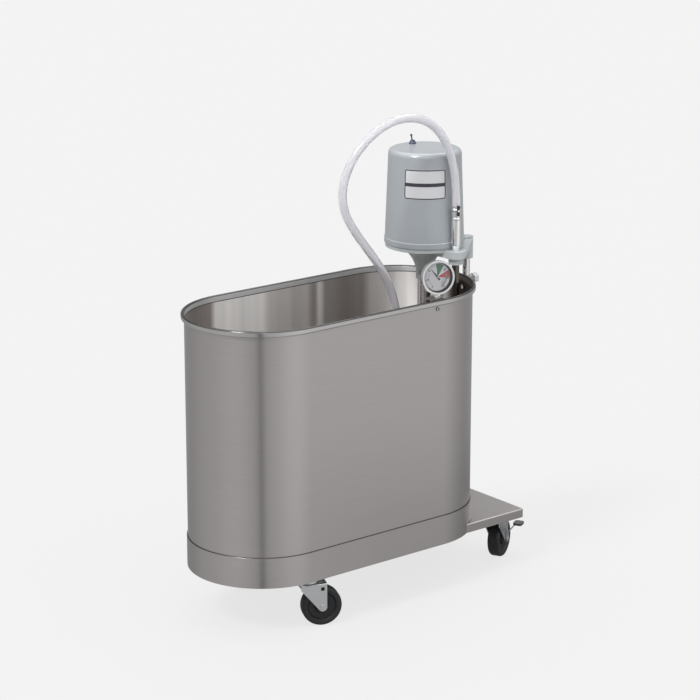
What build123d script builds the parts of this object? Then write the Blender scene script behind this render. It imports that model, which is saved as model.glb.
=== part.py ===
from build123d import *
from math import cos, hypot, radians, sin, sqrt
import os

# Hydrotherapy leg tub on four casters, with a turbine carried by a post at one end.
# Millimetres, +Z up, +X towards the turbine. Everything is drawn about the middle of the tub at
# floor level, and moved at the end so that the origin lies under the middle of the footprint.

# Tub
tub_length = 812.8
tub_width = 378.0
tub_height = 649.5
tub_wall = 1.6
cove_radius = 28.0
rim_overhang = 8.0
rim_height = 15.0
rim_round = 4.3
skirt_height = 78.0
skirt_thickness = 2.2
sheet_gap = 0.3

# Undercarriage
platform_depth = 23.0
platform_sheet = 2.0
platform_inset = 23.0
platform_overhang = 106.6
platform_corner = 6.0
front_beam_length = 100.0
front_beam_inset = 11.0
rear_beam_length = 66.0
beam_wall = 3.0
rail_width = 40.0
rail_spacing = 200.0

# Casters
wheel_diameter = 101.6
wheel_width = 32.0
tyre_depth = 14.0
web_width = 20.0
wheel_trail = 34.0
hub_radius = 17.0
hub_width = 36.0
axle_radius = 5.0
axle_head_radius = 7.0
axle_head_height = 1.8
running_gap = 0.08
side_gap = 0.5
fork_thickness = 3.0
fork_tip_radius = 11.0
fork_back = 20.0
fork_crown_radius = 29.0
fork_crown_gap = 9.0
fork_shoulder = 16.0
fork_bend = 4.0
window_size = 9.0
window_rise = 48.0
raceway_radius = 27.0
raceway_gap = 0.5
raceway_height = 12.4
kingpin_radius = 6.0
kingpin_head_radius = 9.5
kingpin_head_height = 4.0
plate_length = 92.0
plate_width = 60.0
plate_thickness = 3.5
plate_corner = 6.0
bolt_spacing_long = 73.0
bolt_spacing_short = 44.0
caster_bolt_radius = 4.0
bolt_gap = 0.3
bolt_head_height = 5.0
front_caster_setback = 212.8
front_caster_inset = 42.0
front_caster_yaw = 25.0
rear_caster_setback = 37.0
rear_caster_inset = 71.0
rear_near_caster_yaw = 28.0
rear_far_caster_yaw = 60.0

# Brake levers on the rear casters
lever_sheet = 3.0
lever_eye_radius = 10.0
lever_arm_width = 19.0
lever_arm_rise = 15.0
pedal_rise = 45.0
pedal_reach = 31.0
pedal_width = 28.0
pedal_length = 24.0

# Post and its bracket behind the tub
post_offset = 40.6
post_radius = 9.525
post_wall = 1.65
post_gap = 0.3
post_below = 175.0
bracket_height = 62.0
bracket_half_angle = 17.0
bracket_thickness = 5.0
bracket_web = 26.0
bracket_boss_radius = 17.0
bracket_bolt_angle = 14.0
bracket_bolt_spacing = 34.0
bracket_bolt_radius = 3.0
stop_height = 12.0
stop_radius = 15.0
stop_lift = 6.0
knob_radius = 13.0
knob_length = 15.0
knob_stem_radius = 4.0
knob_stem_length = 11.0
knob_drop = 11.0
knob_lobes = 6

# Turbine casting, hung from the post
motor_offset = 144.0
flange_radius = 100.0
flange_lift = 98.5
flange_edge = 11.0
casting_depth = 98.0
neck_radius = 20.5
neck_straight = 12.0
neck_flare_radius = 62.0
neck_flare_height = 82.0
shaft_bore_radius = 12.0
column_radius = 17.3
column_wall = 1.65
column_seat = 35.0
seat_gap = 0.05
clamp_drop = 9.0
clamp_height = 57.0
clamp_radius = 17.0
clamp_cap = 9.0
arm_width = 30.0
arm_depth = 24.0
web_depth = 12.0
air_slot_length = 13.0
air_slot_width = 6.0
air_slot_height = 18.0
air_slot_turn = -158.0

# Motor under its can
can_base_radius = 101.0
can_top_radius = 93.0
can_height = 241.0
can_wall = 1.6
can_shoulder = 13.0
bead_height = 14.0
bead_depth = 1.6
frame_radius = 84.0
frame_height = 152.0
frame_wall = 3.6
stator_bore = 45.6
stator_height = 60.0
stator_lift = 50.0
rotor_radius = 45.0
rotor_height = 62.0
shaft_radius = 7.5
bearing_radius = 20.0
bearing_width = 14.0
bell_thickness = 8.0
bell_boss_radius = 26.0
fan_radius = 60.0
fan_height = 16.0
fan_blades = 8

# Riser, discharge pipe and hose
riser_offset = 6.0
riser_y = -115.0
riser_radius = 12.0
riser_height = 78.0
riser_nose_radius = 8.0
riser_bore = 6.0
lug_radius = 25.0
lug_depth = 18.0
lug_drop = 6.0
lug_boss_height = 16.0
lug_boss_radius = 18.0
pipe_radius = 9.5
pipe_wall = 1.2
pipe_bend = 26.0
ferrule_radius = 13.0
ferrule_height = 32.0
hose_radius = 10.5

# Pump at the foot of the column
pump_clearance = 44.4
pump_radius = 47.0
pump_height = 46.0
pump_wall = 4.0
pump_top_wall = 6.0
pump_collar_radius = 24.0
pump_collar_height = 20.0
impeller_radius = 38.0
impeller_height = 24.0
impeller_disc = 4.0
impeller_hub_radius = 13.0
blade_count = 6
blade_thickness = 3.0
strainer_height = 18.0
strainer_slots = 16
slot_width = 5.0
nozzle_radius = 13.0
nozzle_bore = 9.0
nozzle_length = 42.0
bush_length = 28.0

# Toggle switch on top of the can
switch_offset_x = 8.5
switch_offset_y = 58.8
switch_bush_radius = 6.0
switch_bush_bore = 4.2
switch_bush_rise = 5.0
switch_body_length = 26.0
switch_body_width = 17.0
switch_body_height = 28.0
boot_radius = 9.5
boot_top_radius = 5.6
boot_opening = 4.4
boot_height = 9.0
lever_radius = 1.8
lever_ball_radius = 3.2
lever_pivot_radius = 3.9
lever_pin_radius = 1.2
lever_pin_reach = 4.05
lever_height = 22.0
lever_lean = 12.0

# Cord gland on the far side of the can
gland_height = 27.0
gland_radius = 8.0
gland_bore = 4.5
gland_hex_radius = 11.5
gland_hex_length = 9.0
gland_nut_radius = 10.0
gland_nut_length = 9.0
locknut_length = 3.4

# Dial thermometer on the near wall
dial_setback = 22.7
dial_inset = 6.7
dial_lift = 53.5
dial_turn = 18.0
dial_tilt = 5.0
case_radius = 40.5
case_depth = 15.0
case_wall = 1.3
bezel_width = 5.5
bezel_depth = 9.0
bezel_lip = 1.8
lens_thickness = 1.0
dial_recess = 5.8
dial_thickness = 0.8
pointer_length = 28.0
pointer_tail = 9.0
pointer_width = 2.4
pointer_sheet = 0.8
pointer_angle = 128.0
spindle_radius = 1.0
stem_radius = 4.0
stem_length = 330.0
stem_nut_radius = 8.0
stem_nut_height = 7.0
stem_neck = 3.0
clip_width = 26.0
clip_offset = -12.7
clip_shelf_width = 38.0
clip_reach = 30.0
clip_sheet = 2.5
clip_drop = 38.0
clip_hole_radius = 2.2
clip_hole_drop = 5.0
screw_radius = 3.0
screw_drop = 9.0
screw_offset = -7.7
screw_head_radius = 5.5
screw_head_height = 3.0

os.makedirs("parts", exist_ok=True)

# Places worked out from the sizes above
end_radius = tub_width / 2
end_center = (tub_length - tub_width) / 2
wheel_radius = wheel_diameter / 2
crown_bottom = wheel_diameter + fork_crown_gap
crown_top = crown_bottom + fork_thickness
plate_bottom = crown_top + raceway_gap + raceway_height
chassis_height = plate_bottom + plate_thickness
rim_top = chassis_height + tub_height
rim_bottom = rim_top - rim_height
deck_top = chassis_height + platform_depth
platform_width = tub_width - 2 * platform_inset
platform_rear = tub_length / 2 + platform_overhang
front_beam_width = tub_width - 2 * front_beam_inset
front_caster_x = -tub_length / 2 + front_caster_setback
front_caster_y = end_radius - front_caster_inset
rear_caster_x = platform_rear - rear_caster_setback
rear_caster_y = platform_width / 2 - rear_caster_inset
platform_front = front_caster_x + front_beam_length / 2
fork_inner = hub_width / 2 + side_gap
fork_outer = fork_inner + fork_thickness
post_x = tub_length / 2 + post_offset
motor_x = post_x - motor_offset
bracket_top = rim_bottom - sheet_gap
bracket_bottom = bracket_top - bracket_height
flange_top = rim_top + flange_lift
clamp_top = flange_top - clamp_drop
clamp_bottom = clamp_top - clamp_height
post_top = clamp_top - clamp_cap
post_bottom = bracket_bottom - post_below
casting_bottom = flange_top - casting_depth
column_top = casting_bottom + column_seat
pump_bottom = deck_top + tub_wall + pump_clearance + strainer_height
column_bottom = pump_bottom + pump_height
cavity_top = column_bottom - pump_top_wall
can_top = flange_top + can_height
frame_top = flange_top + frame_height
lug_top = flange_top - lug_drop
riser_top = lug_top + riser_height
hose_start = riser_top + ferrule_height
knob_height = rim_bottom - knob_drop
riser_x = motor_x + riser_offset
dial_x = end_center - dial_setback
dial_y = dial_inset - end_radius
dial_height = rim_top + dial_lift
pipe_reach = hypot(riser_x - motor_x, riser_y)
pipe_direction = Vector(riser_x - motor_x, riser_y, 0) / pipe_reach
motor_axis = Axis((motor_x, 0, 0), (0, 0, 1))
motor_plane = Plane(origin=(motor_x, 0, 0), x_dir=(1, 0, 0), z_dir=(0, -1, 0))


def sleeve(outer, inner, bottom, height, at=(0.0, 0.0)):
    """A plain upright ring, tube or bush."""
    with BuildPart() as body:
        with BuildSketch(Plane.XY.offset(bottom)):
            with Locations(at):
                Circle(outer)
                Circle(inner, mode=Mode.SUBTRACT)
        extrude(amount=height)
    return body.part


def slot_ring(outer_growth, inner_growth, bottom, height):
    """An upright ring that follows the outline of the tub."""
    with BuildPart() as body:
        with BuildSketch(Plane.XY.offset(bottom)):
            SlotOverall(tub_length + 2 * outer_growth, tub_width + 2 * outer_growth)
            SlotOverall(tub_length + 2 * inner_growth, tub_width + 2 * inner_growth, mode=Mode.SUBTRACT)
        extrude(amount=height)
    return body.part


def end_wall_plane(angle, radius, height):
    """A plane on the round end of the tub that faces straight out."""
    out = Vector(cos(radians(angle)), sin(radians(angle)), 0)
    spot = Vector(end_center, 0, height) + out * radius
    return Plane(origin=spot, x_dir=(-out.Y, out.X, 0), z_dir=out)


def plate_holes(center, long_along_x):
    """The four bolt places of one caster plate."""
    span_x = bolt_spacing_long if long_along_x else bolt_spacing_short
    span_y = bolt_spacing_short if long_along_x else bolt_spacing_long
    return [
        (center[0] + i * span_x / 2, center[1] + j * span_y / 2)
        for i in (-1, 1)
        for j in (-1, 1)
    ]


caster_places = {
    "front_near": (front_caster_x, -front_caster_y, -front_caster_yaw, True),
    "front_far": (front_caster_x, front_caster_y, front_caster_yaw, True),
    "rear_near": (rear_caster_x, -rear_caster_y, rear_near_caster_yaw, False),
    "rear_far": (rear_caster_x, rear_caster_y, rear_far_caster_yaw, False),
}
all_bolt_places = []
for x, y, yaw, lengthwise in caster_places.values():
    all_bolt_places += plate_holes((x, y), lengthwise)

pieces = {}

# Tub shell: one deep tank with a coved bottom and an outward rolled rim
with BuildPart() as rim_roll:
    add(slot_ring(rim_overhang, -tub_wall, rim_bottom, rim_height))
    fillet(rim_roll.edges().group_by(Axis.Z)[-1], rim_round)
    fillet(rim_roll.faces().sort_by(Axis.Z)[0].outer_wire().edges(), rim_round)

with BuildPart() as tub_shell:
    with BuildSketch(Plane.XY.offset(deck_top)):
        SlotOverall(tub_length, tub_width)
    extrude(amount=rim_bottom + rim_height / 2 - deck_top)
    fillet(tub_shell.faces().sort_by(Axis.Z)[0].edges(), cove_radius)
    offset(amount=-tub_wall, openings=tub_shell.faces().sort_by(Axis.Z)[-1])
    add(rim_roll.part)
    for side in (-1, 1):
        for level in (-1, 1):
            height = bracket_bottom + bracket_height / 2 + level * bracket_bolt_spacing / 2
            with BuildSketch(end_wall_plane(side * bracket_bolt_angle, end_radius - 5, height)):
                Circle(bracket_bolt_radius + bolt_gap)
            extrude(amount=10, mode=Mode.SUBTRACT)
    with BuildSketch(Plane.XZ.offset(end_radius - 5)):
        with Locations((dial_x + screw_offset, rim_bottom - screw_drop)):
            Circle(screw_radius + bolt_gap)
    extrude(amount=10, mode=Mode.SUBTRACT)
pieces["tub_shell"] = tub_shell.part

# Skirt band round the foot of the tub, notched where the platform runs in
with BuildPart() as skirt_band:
    add(slot_ring(sheet_gap + skirt_thickness, sheet_gap, chassis_height, skirt_height))
    with BuildSketch(Plane.XY.offset(chassis_height)):
        with Locations((tub_length / 2, 0)):
            Rectangle(tub_length, platform_width + 2 * sheet_gap)
    extrude(amount=platform_depth + sheet_gap, mode=Mode.SUBTRACT)
    chamfer(skirt_band.faces().sort_by(Axis.Z)[-1].outer_wire().edges(), skirt_thickness / 3)
pieces["skirt_band"] = skirt_band.part

# Platform: a folded pan that runs under the tub and carries its rear end
with BuildPart() as platform_pan:
    with BuildSketch(Plane.XY.offset(chassis_height)):
        with Locations(((platform_rear + platform_front) / 2, 0)):
            Rectangle(platform_rear - platform_front, platform_width)
    extrude(amount=platform_depth)
    rear_corners = platform_pan.edges().filter_by(Axis.Z).group_by(Axis.X)[-1]
    fillet(rear_corners, platform_corner)
    top_edges = platform_pan.faces().sort_by(Axis.Z)[-1].edges().sort_by(Axis.X)[1:]
    fillet(top_edges, platform_sheet * 1.2)
    open_sides = [platform_pan.faces().sort_by(Axis.Z)[0], platform_pan.faces().sort_by(Axis.X)[0]]
    offset(amount=-platform_sheet, openings=open_sides)
pieces["platform_pan"] = platform_pan.part

# Chassis: two cross beams for the casters, joined by two rails
rail_height = platform_depth - platform_sheet
rear_beam_front = rear_caster_x - rear_beam_length / 2
with BuildPart() as chassis_frame:
    for beam_x, length, depth, width in (
        (front_caster_x, front_beam_length, platform_depth, front_beam_width),
        (rear_caster_x, rear_beam_length, rail_height, platform_width - 4 * platform_sheet),
    ):
        with BuildSketch(Plane.XZ):
            with Locations((beam_x, chassis_height + depth / 2)):
                Rectangle(length, depth)
                Rectangle(length - 2 * beam_wall, depth - 2 * beam_wall, mode=Mode.SUBTRACT)
        extrude(amount=width / 2, both=True)
    with BuildSketch(Plane.YZ.offset(platform_front)):
        with Locations((-rail_spacing / 2, chassis_height + rail_height / 2),
                       (rail_spacing / 2, chassis_height + rail_height / 2)):
            Rectangle(rail_width, rail_height)
            Rectangle(rail_width - 2 * beam_wall, rail_height - 2 * beam_wall, mode=Mode.SUBTRACT)
    extrude(amount=rear_beam_front - platform_front)
    with BuildSketch(Plane.XY.offset(chassis_height)):
        with Locations(all_bolt_places):
            Circle(caster_bolt_radius + bolt_gap)
    extrude(amount=beam_wall, mode=Mode.SUBTRACT)
pieces["chassis_frame"] = chassis_frame.part

# Caster bolts, sixteen hexagon heads under the plates
with BuildPart() as caster_bolts:
    with BuildSketch(Plane.XY.offset(plate_bottom - bolt_head_height)):
        with Locations(all_bolt_places):
            RegularPolygon(caster_bolt_radius * 1.75, 6)
    extrude(amount=bolt_head_height)
    with BuildSketch(Plane.XY.offset(plate_bottom)):
        with Locations(all_bolt_places):
            Circle(caster_bolt_radius)
    extrude(amount=plate_thickness + beam_wall + caster_bolt_radius)
pieces["caster_bolts"] = caster_bolts.part

# One caster, drawn about its swivel axis with the wheel trailing along +X
with BuildPart() as caster_plate:
    with BuildSketch(Plane.XY.offset(plate_bottom)):
        RectangleRounded(plate_length, plate_width, plate_corner)
        with GridLocations(bolt_spacing_long, bolt_spacing_short, 2, 2):
            Circle(caster_bolt_radius + bolt_gap, mode=Mode.SUBTRACT)
    extrude(amount=plate_thickness)
    with BuildSketch(Plane.XY.offset(crown_top + raceway_gap)):
        Circle(raceway_radius)
    extrude(amount=raceway_height)
    chamfer(caster_plate.faces().sort_by(Axis.Z)[0].edges(), 2)
    with BuildSketch(Plane.XY.offset(crown_bottom - raceway_gap)):
        Circle(kingpin_radius)
    extrude(amount=fork_thickness + 2 * raceway_gap)
    with BuildSketch(Plane.XY.offset(crown_bottom - raceway_gap - kingpin_head_height)):
        Circle(kingpin_head_radius)
    extrude(amount=kingpin_head_height)

with BuildPart() as caster_fork:
    with BuildSketch(Plane.XZ):
        with Locations((wheel_trail, wheel_radius)):
            Circle(fork_tip_radius)
        leg_front = wheel_trail + fork_tip_radius
        with Locations(((leg_front - fork_back) / 2, crown_top - fork_shoulder / 2)):
            Rectangle(leg_front + fork_back, fork_shoulder)
        make_hull()
    extrude(amount=fork_outer, both=True)
    fillet(caster_fork.edges().filter_by(Axis.X).group_by(Axis.Z)[-1], fork_bend)
    with BuildSketch(Plane.YZ):
        with Locations((0, crown_bottom / 2)):
            Rectangle(2 * fork_inner, crown_bottom)
    extrude(amount=plate_length, both=True, mode=Mode.SUBTRACT)
    with BuildSketch(Plane.XY.offset(crown_bottom)):
        Circle(fork_crown_radius)
    extrude(amount=fork_thickness)
    with BuildSketch(Plane.XY.offset(crown_bottom)):
        Circle(kingpin_radius + post_gap)
    extrude(amount=fork_thickness, mode=Mode.SUBTRACT)
    with BuildSketch(Plane.XZ):
        with Locations((wheel_trail, wheel_radius)):
            Circle(axle_radius + running_gap)
        with Locations((wheel_trail, wheel_radius + window_rise)):
            RectangleRounded(window_size, window_size, window_size / 6)
    extrude(amount=2 * fork_outer, both=True, mode=Mode.SUBTRACT)

wheel_plane = Plane(origin=(wheel_trail, 0, wheel_radius), x_dir=(0, 1, 0), z_dir=(1, 0, 0))
tyre_inner = wheel_radius - tyre_depth
with BuildPart() as caster_wheel:
    with BuildSketch(wheel_plane):
        with BuildLine():
            Polyline(
                (0, axle_radius + running_gap),
                (hub_width / 2, axle_radius + running_gap),
                (hub_width / 2, hub_radius - 2),
                (hub_width / 2 - 2, hub_radius),
                (web_width / 2, hub_radius + 2),
                (web_width / 2, tyre_inner - 3),
                (wheel_width / 2 - 1, tyre_inner),
                (wheel_width / 2, tyre_inner + 2),
                (wheel_width / 2, wheel_radius - 5),
            )
            ThreePointArc(
                (wheel_width / 2, wheel_radius - 5),
                (wheel_width / 2 - 2.5, wheel_radius - 1.6),
                (wheel_width / 2 - 8, wheel_radius),
            )
            Line((wheel_width / 2 - 8, wheel_radius), (0, wheel_radius))
            Line((0, wheel_radius), (0, axle_radius + running_gap))
        make_face()
        mirror(about=Plane.YZ)
    revolve(axis=Axis((wheel_trail, 0, wheel_radius), (0, 1, 0)))


def caster_axle(outboard):
    """A riveted axle with low heads, longer on the near side where it carries a lever."""
    start = -fork_outer - outboard
    span = 2 * fork_outer + outboard
    with BuildPart() as axle:
        with BuildSketch(Plane.XZ.offset(-fork_outer)):
            with Locations((wheel_trail, wheel_radius)):
                Circle(axle_radius)
        extrude(amount=span)
        for face, step in ((Plane.XZ.offset(-start), axle_head_height),
                           (Plane.XZ.offset(-fork_outer), -axle_head_height)):
            with BuildSketch(face):
                with Locations((wheel_trail, wheel_radius)):
                    Circle(axle_head_radius)
            extrude(amount=step)
        fillet(axle.edges().filter_by(GeomType.CIRCLE).group_by(Axis.Y)[0], axle_head_height / 2)
        fillet(axle.edges().filter_by(GeomType.CIRCLE).group_by(Axis.Y)[-1], axle_head_height / 2)
    return axle.part


# Brake lever: an eye round the axle, an arm up the leg and a pedal that sticks out sideways
lever_start = fork_outer + sheet_gap
lever_middle = -lever_start - lever_sheet / 2
with BuildPart() as brake_lever:
    with BuildSketch(Plane.XZ.offset(lever_start)):
        with Locations((wheel_trail, wheel_radius)):
            Circle(lever_eye_radius)
        with Locations((wheel_trail, wheel_radius + lever_arm_rise / 2)):
            Rectangle(lever_arm_width, lever_arm_rise)
    extrude(amount=lever_sheet)
    with BuildSketch(Plane.YZ.offset(wheel_trail)):
        with BuildLine():
            FilletPolyline(
                (lever_middle, wheel_radius + lever_arm_rise / 2),
                (lever_middle, wheel_radius + lever_arm_rise),
                (lever_middle - pedal_reach * 0.7, wheel_radius + pedal_rise * 0.93),
                (lever_middle - pedal_reach, wheel_radius + pedal_rise),
                radius=5,
            )
        trace(line_width=lever_sheet)
    extrude(amount=lever_arm_width / 2, both=True)
    with BuildSketch(Plane.XY.offset(wheel_radius + pedal_rise - lever_sheet / 2)):
        with Locations((wheel_trail, lever_middle - pedal_reach)):
            RectangleRounded(pedal_width, pedal_length, pedal_length / 4)
    extrude(amount=2 * lever_sheet)
    with BuildSketch(Plane.XZ):
        with Locations((wheel_trail, wheel_radius)):
            Circle(axle_radius + running_gap)
    extrude(amount=2 * fork_outer, mode=Mode.SUBTRACT)

lever_room = lever_sheet + 2 * sheet_gap
for place, (x, y, yaw, lengthwise) in caster_places.items():
    turned = Location((x, y, 0), (0, 0, yaw))
    square = Location((x, y, 0), (0, 0, 0 if lengthwise else 90))
    braked = place.startswith("rear")
    axle_part = caster_axle(lever_room if braked else 0.0)
    lever_part = brake_lever.part
    if place.endswith("far"):
        axle_part = mirror(axle_part, about=Plane.XZ, mode=Mode.PRIVATE)
        lever_part = mirror(lever_part, about=Plane.XZ, mode=Mode.PRIVATE)
    pieces[place + "_caster_plate"] = caster_plate.part.moved(square)
    pieces[place + "_caster_fork"] = caster_fork.part.moved(turned)
    pieces[place + "_caster_wheel"] = caster_wheel.part.moved(turned)
    pieces[place + "_caster_axle"] = axle_part.moved(turned)
    if braked:
        pieces[place + "_brake_lever"] = lever_part.moved(turned)

# Bracket for the post: a curved saddle on the tub wall, a web and a clamp boss
saddle_inner = end_radius + sheet_gap
with BuildPart() as mast_bracket:
    with BuildSketch(Plane.XY.offset(bracket_bottom)):
        with Locations((end_center, 0)):
            Circle(saddle_inner + bracket_thickness)
            Circle(saddle_inner, mode=Mode.SUBTRACT)
        reach = 2 * saddle_inner
        with BuildLine():
            spread = reach * sin(radians(bracket_half_angle)) / cos(radians(bracket_half_angle))
            Polyline(
                (end_center, 0),
                (end_center + reach, spread),
                (end_center + reach, -spread),
                close=True,
            )
        make_face(mode=Mode.INTERSECT)
    extrude(amount=bracket_height)
    web_start = end_center + saddle_inner + bracket_thickness / 2
    with BuildSketch(Plane.XY.offset(bracket_bottom)):
        with Locations(((web_start + post_x) / 2, 0)):
            Rectangle(post_x - web_start, bracket_web)
    extrude(amount=bracket_height)
    with BuildSketch(Plane.XY.offset(bracket_bottom)):
        with Locations((post_x, 0)):
            Circle(bracket_boss_radius)
    extrude(amount=bracket_height)
    with BuildSketch(Plane.XY.offset(bracket_bottom)):
        with Locations((post_x, 0)):
            Circle(post_radius + post_gap)
    extrude(amount=bracket_height, mode=Mode.SUBTRACT)
    with BuildSketch(Plane.YZ.offset(post_x)):
        with Locations((0, knob_height)):
            Circle(knob_stem_radius + bolt_gap)
    extrude(amount=2 * bracket_boss_radius, mode=Mode.SUBTRACT)
    for side in (-1, 1):
        for level in (-1, 1):
            height = bracket_bottom + bracket_height / 2 + level * bracket_bolt_spacing / 2
            with BuildSketch(end_wall_plane(side * bracket_bolt_angle, end_radius, height)):
                Circle(bracket_bolt_radius + bolt_gap)
            extrude(amount=2 * bracket_thickness, mode=Mode.SUBTRACT)
pieces["mast_bracket"] = mast_bracket.part

# Four bolts through saddle and tub wall, heads outside and cap nuts inside
with BuildPart() as bracket_bolts:
    for side in (-1, 1):
        for level in (-1, 1):
            height = bracket_bottom + bracket_height / 2 + level * bracket_bolt_spacing / 2
            angle = side * bracket_bolt_angle
            with BuildSketch(end_wall_plane(angle, saddle_inner + bracket_thickness + sheet_gap, height)):
                RegularPolygon(bracket_bolt_radius * 1.9, 6)
            extrude(amount=bracket_bolt_radius * 1.3)
            nut_face = end_radius - tub_wall - sheet_gap
            with BuildSketch(end_wall_plane(angle, nut_face - 5, height)):
                Circle(bracket_bolt_radius * 1.8)
            extrude(amount=5)
            with BuildSketch(end_wall_plane(angle, nut_face, height)):
                Circle(bracket_bolt_radius)
            extrude(amount=saddle_inner + bracket_thickness + sheet_gap - nut_face)
pieces["bracket_bolts"] = bracket_bolts.part

# Clamp knob: a lobed handle on a threaded stem that presses on the post
knob_start = post_x + bracket_boss_radius + knob_stem_length - knob_length / 2
with BuildPart() as clamp_knob:
    with BuildSketch(Plane.YZ.offset(knob_start)):
        with Locations((0, knob_height)):
            Circle(knob_radius)
            with PolarLocations(knob_radius + 3, knob_lobes):
                Circle(knob_radius / 2.6, mode=Mode.SUBTRACT)
    extrude(amount=knob_length)
    fillet(clamp_knob.faces().sort_by(Axis.X)[-1].edges(), 1.5)
    stem_tip = post_x + post_radius + post_gap
    with BuildSketch(Plane.YZ.offset(stem_tip)):
        with Locations((0, knob_height)):
            Circle(knob_stem_radius)
    extrude(amount=knob_start - stem_tip)
pieces["clamp_knob"] = clamp_knob.part

# Post with its stop collar
post_length = post_top - post_bottom
post_inner = post_radius - post_wall
pieces["mast_post"] = sleeve(post_radius, post_inner, post_bottom, post_length, (post_x, 0))
stop_bottom = post_bottom + stop_lift
pieces["mast_stop"] = sleeve(stop_radius, post_radius + seat_gap, stop_bottom, stop_height, (post_x, 0))

# Turbine casting: flange, flared neck, arm with clamp block, and lug for the riser
with BuildPart() as turbine_casting:
    with BuildSketch(motor_plane):
        with BuildLine():
            flare_start = (neck_radius, casting_bottom + neck_straight)
            flare_end = (neck_flare_radius, casting_bottom + neck_flare_height)
            edge_low = (flange_radius, flange_top - flange_edge)
            Polyline((shaft_bore_radius, casting_bottom), (neck_radius, casting_bottom), flare_start)
            TangentArc(flare_start, flare_end, tangent=(0, 1))
            Polyline(
                flare_end,
                edge_low,
                (flange_radius, flange_top),
                (shaft_bore_radius, flange_top),
                (shaft_bore_radius, casting_bottom),
            )
        make_face()
    revolve(axis=motor_axis)
    with BuildSketch(Plane.XY.offset(clamp_top - arm_depth)):
        arm_start = motor_x + neck_flare_radius * 0.65
        with Locations(((arm_start + post_x) / 2, 0)):
            Rectangle(post_x - arm_start, arm_width)
    extrude(amount=arm_depth)
    with BuildSketch(Plane.XY.offset(clamp_bottom)):
        with Locations((post_x, 0)):
            Circle(clamp_radius)
    extrude(amount=clamp_height)
    lug_line = Plane(origin=(motor_x, 0, lug_top - lug_depth), x_dir=pipe_direction, z_dir=(0, 0, 1))
    with BuildSketch(lug_line):
        with Locations((pipe_reach * 0.75, 0)):
            Rectangle(pipe_reach / 2, 2 * lug_radius)
        with Locations((pipe_reach, 0)):
            Circle(lug_radius)
    extrude(amount=lug_depth)
    with BuildSketch(Plane.XY.offset(lug_top - lug_depth)):
        with Locations((riser_x, riser_y)):
            Circle(lug_radius)
        with Locations((post_x, 0)):
            Circle(clamp_radius)
        make_hull()
    extrude(amount=web_depth)
    with BuildSketch(Plane.XY.offset(lug_top - lug_depth - lug_boss_height)):
        with Locations((riser_x, riser_y)):
            Circle(lug_boss_radius)
    extrude(amount=lug_boss_height)
    top_loop = turbine_casting.faces().filter_by(Plane.XY).sort_by(Axis.Z)[-1].outer_wire()
    fillet(top_loop.edges(), 2)
    with BuildSketch(Plane.XY.offset(clamp_bottom)):
        with Locations((post_x, 0)):
            Circle(post_radius + post_gap)
    extrude(amount=clamp_height - clamp_cap, mode=Mode.SUBTRACT)
    with BuildSketch(Plane.XY.offset(casting_bottom)):
        with Locations((motor_x, 0)):
            Circle(column_radius + seat_gap)
    extrude(amount=column_seat, mode=Mode.SUBTRACT)
    with BuildSketch(Plane.XY.offset(flange_top - bearing_width)):
        with Locations((motor_x, 0)):
            Circle(bearing_radius + seat_gap)
    extrude(amount=bearing_width, mode=Mode.SUBTRACT)
    lug_bottom = lug_top - lug_depth - lug_boss_height
    for level, radius, depth in (
        (lug_bottom, riser_bore, lug_depth + lug_boss_height),
        (lug_bottom, pipe_radius + seat_gap, lug_boss_height / 2),
        (lug_top - lug_depth / 2, riser_nose_radius + seat_gap, lug_depth / 2),
    ):
        with BuildSketch(Plane.XY.offset(level)):
            with Locations((riser_x, riser_y)):
                Circle(radius)
        extrude(amount=depth, mode=Mode.SUBTRACT)
    slot_out = Vector(cos(radians(air_slot_turn)), sin(radians(air_slot_turn)), 0)
    slot_spot = Vector(motor_x, 0, casting_bottom + air_slot_height) + slot_out * column_radius
    with BuildSketch(Plane(origin=slot_spot, x_dir=(0, 0, 1), z_dir=slot_out)):
        SlotOverall(air_slot_length, air_slot_width)
    extrude(amount=2 * (neck_radius - column_radius), mode=Mode.SUBTRACT)
pieces["turbine_casting"] = turbine_casting.part


def can_outline(wall):
    """The can's half section at a given depth under its outer skin."""
    base = can_base_radius - wall
    top = can_top_radius - wall
    crown = can_top - wall
    shoulder = max(can_shoulder - wall, can_wall)
    swell = bead_depth if wall == 0 else 0.0
    knee = crown - shoulder
    with BuildLine() as outline:
        Polyline(
            (0, flange_top),
            (base + swell, flange_top),
            (base + swell, flange_top + bead_height - bead_depth),
            (base, flange_top + bead_height),
            (top, knee),
        )
        TangentArc((top, knee), (top - shoulder, crown), tangent=(top - base, can_height))
        Polyline((top - shoulder, crown), (0, crown), (0, flange_top))
    return outline.line


with BuildPart() as motor_can:
    with BuildSketch(motor_plane):
        with BuildLine():
            add(can_outline(0))
        make_face()
    revolve(axis=motor_axis)
    with BuildSketch(motor_plane):
        with BuildLine():
            add(can_outline(can_wall))
        make_face()
    revolve(axis=motor_axis, mode=Mode.SUBTRACT)
    with BuildSketch(Plane.XY.offset(can_top - can_shoulder)):
        with Locations((motor_x + switch_offset_x, switch_offset_y)):
            Circle(switch_bush_radius + bolt_gap)
    extrude(amount=2 * can_shoulder, mode=Mode.SUBTRACT)
    with BuildSketch(Plane.XZ):
        with Locations((motor_x, flange_top + gland_height)):
            Circle(gland_radius + bolt_gap)
    extrude(amount=-2 * can_base_radius, mode=Mode.SUBTRACT)
pieces["motor_can"] = motor_can.part

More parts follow.
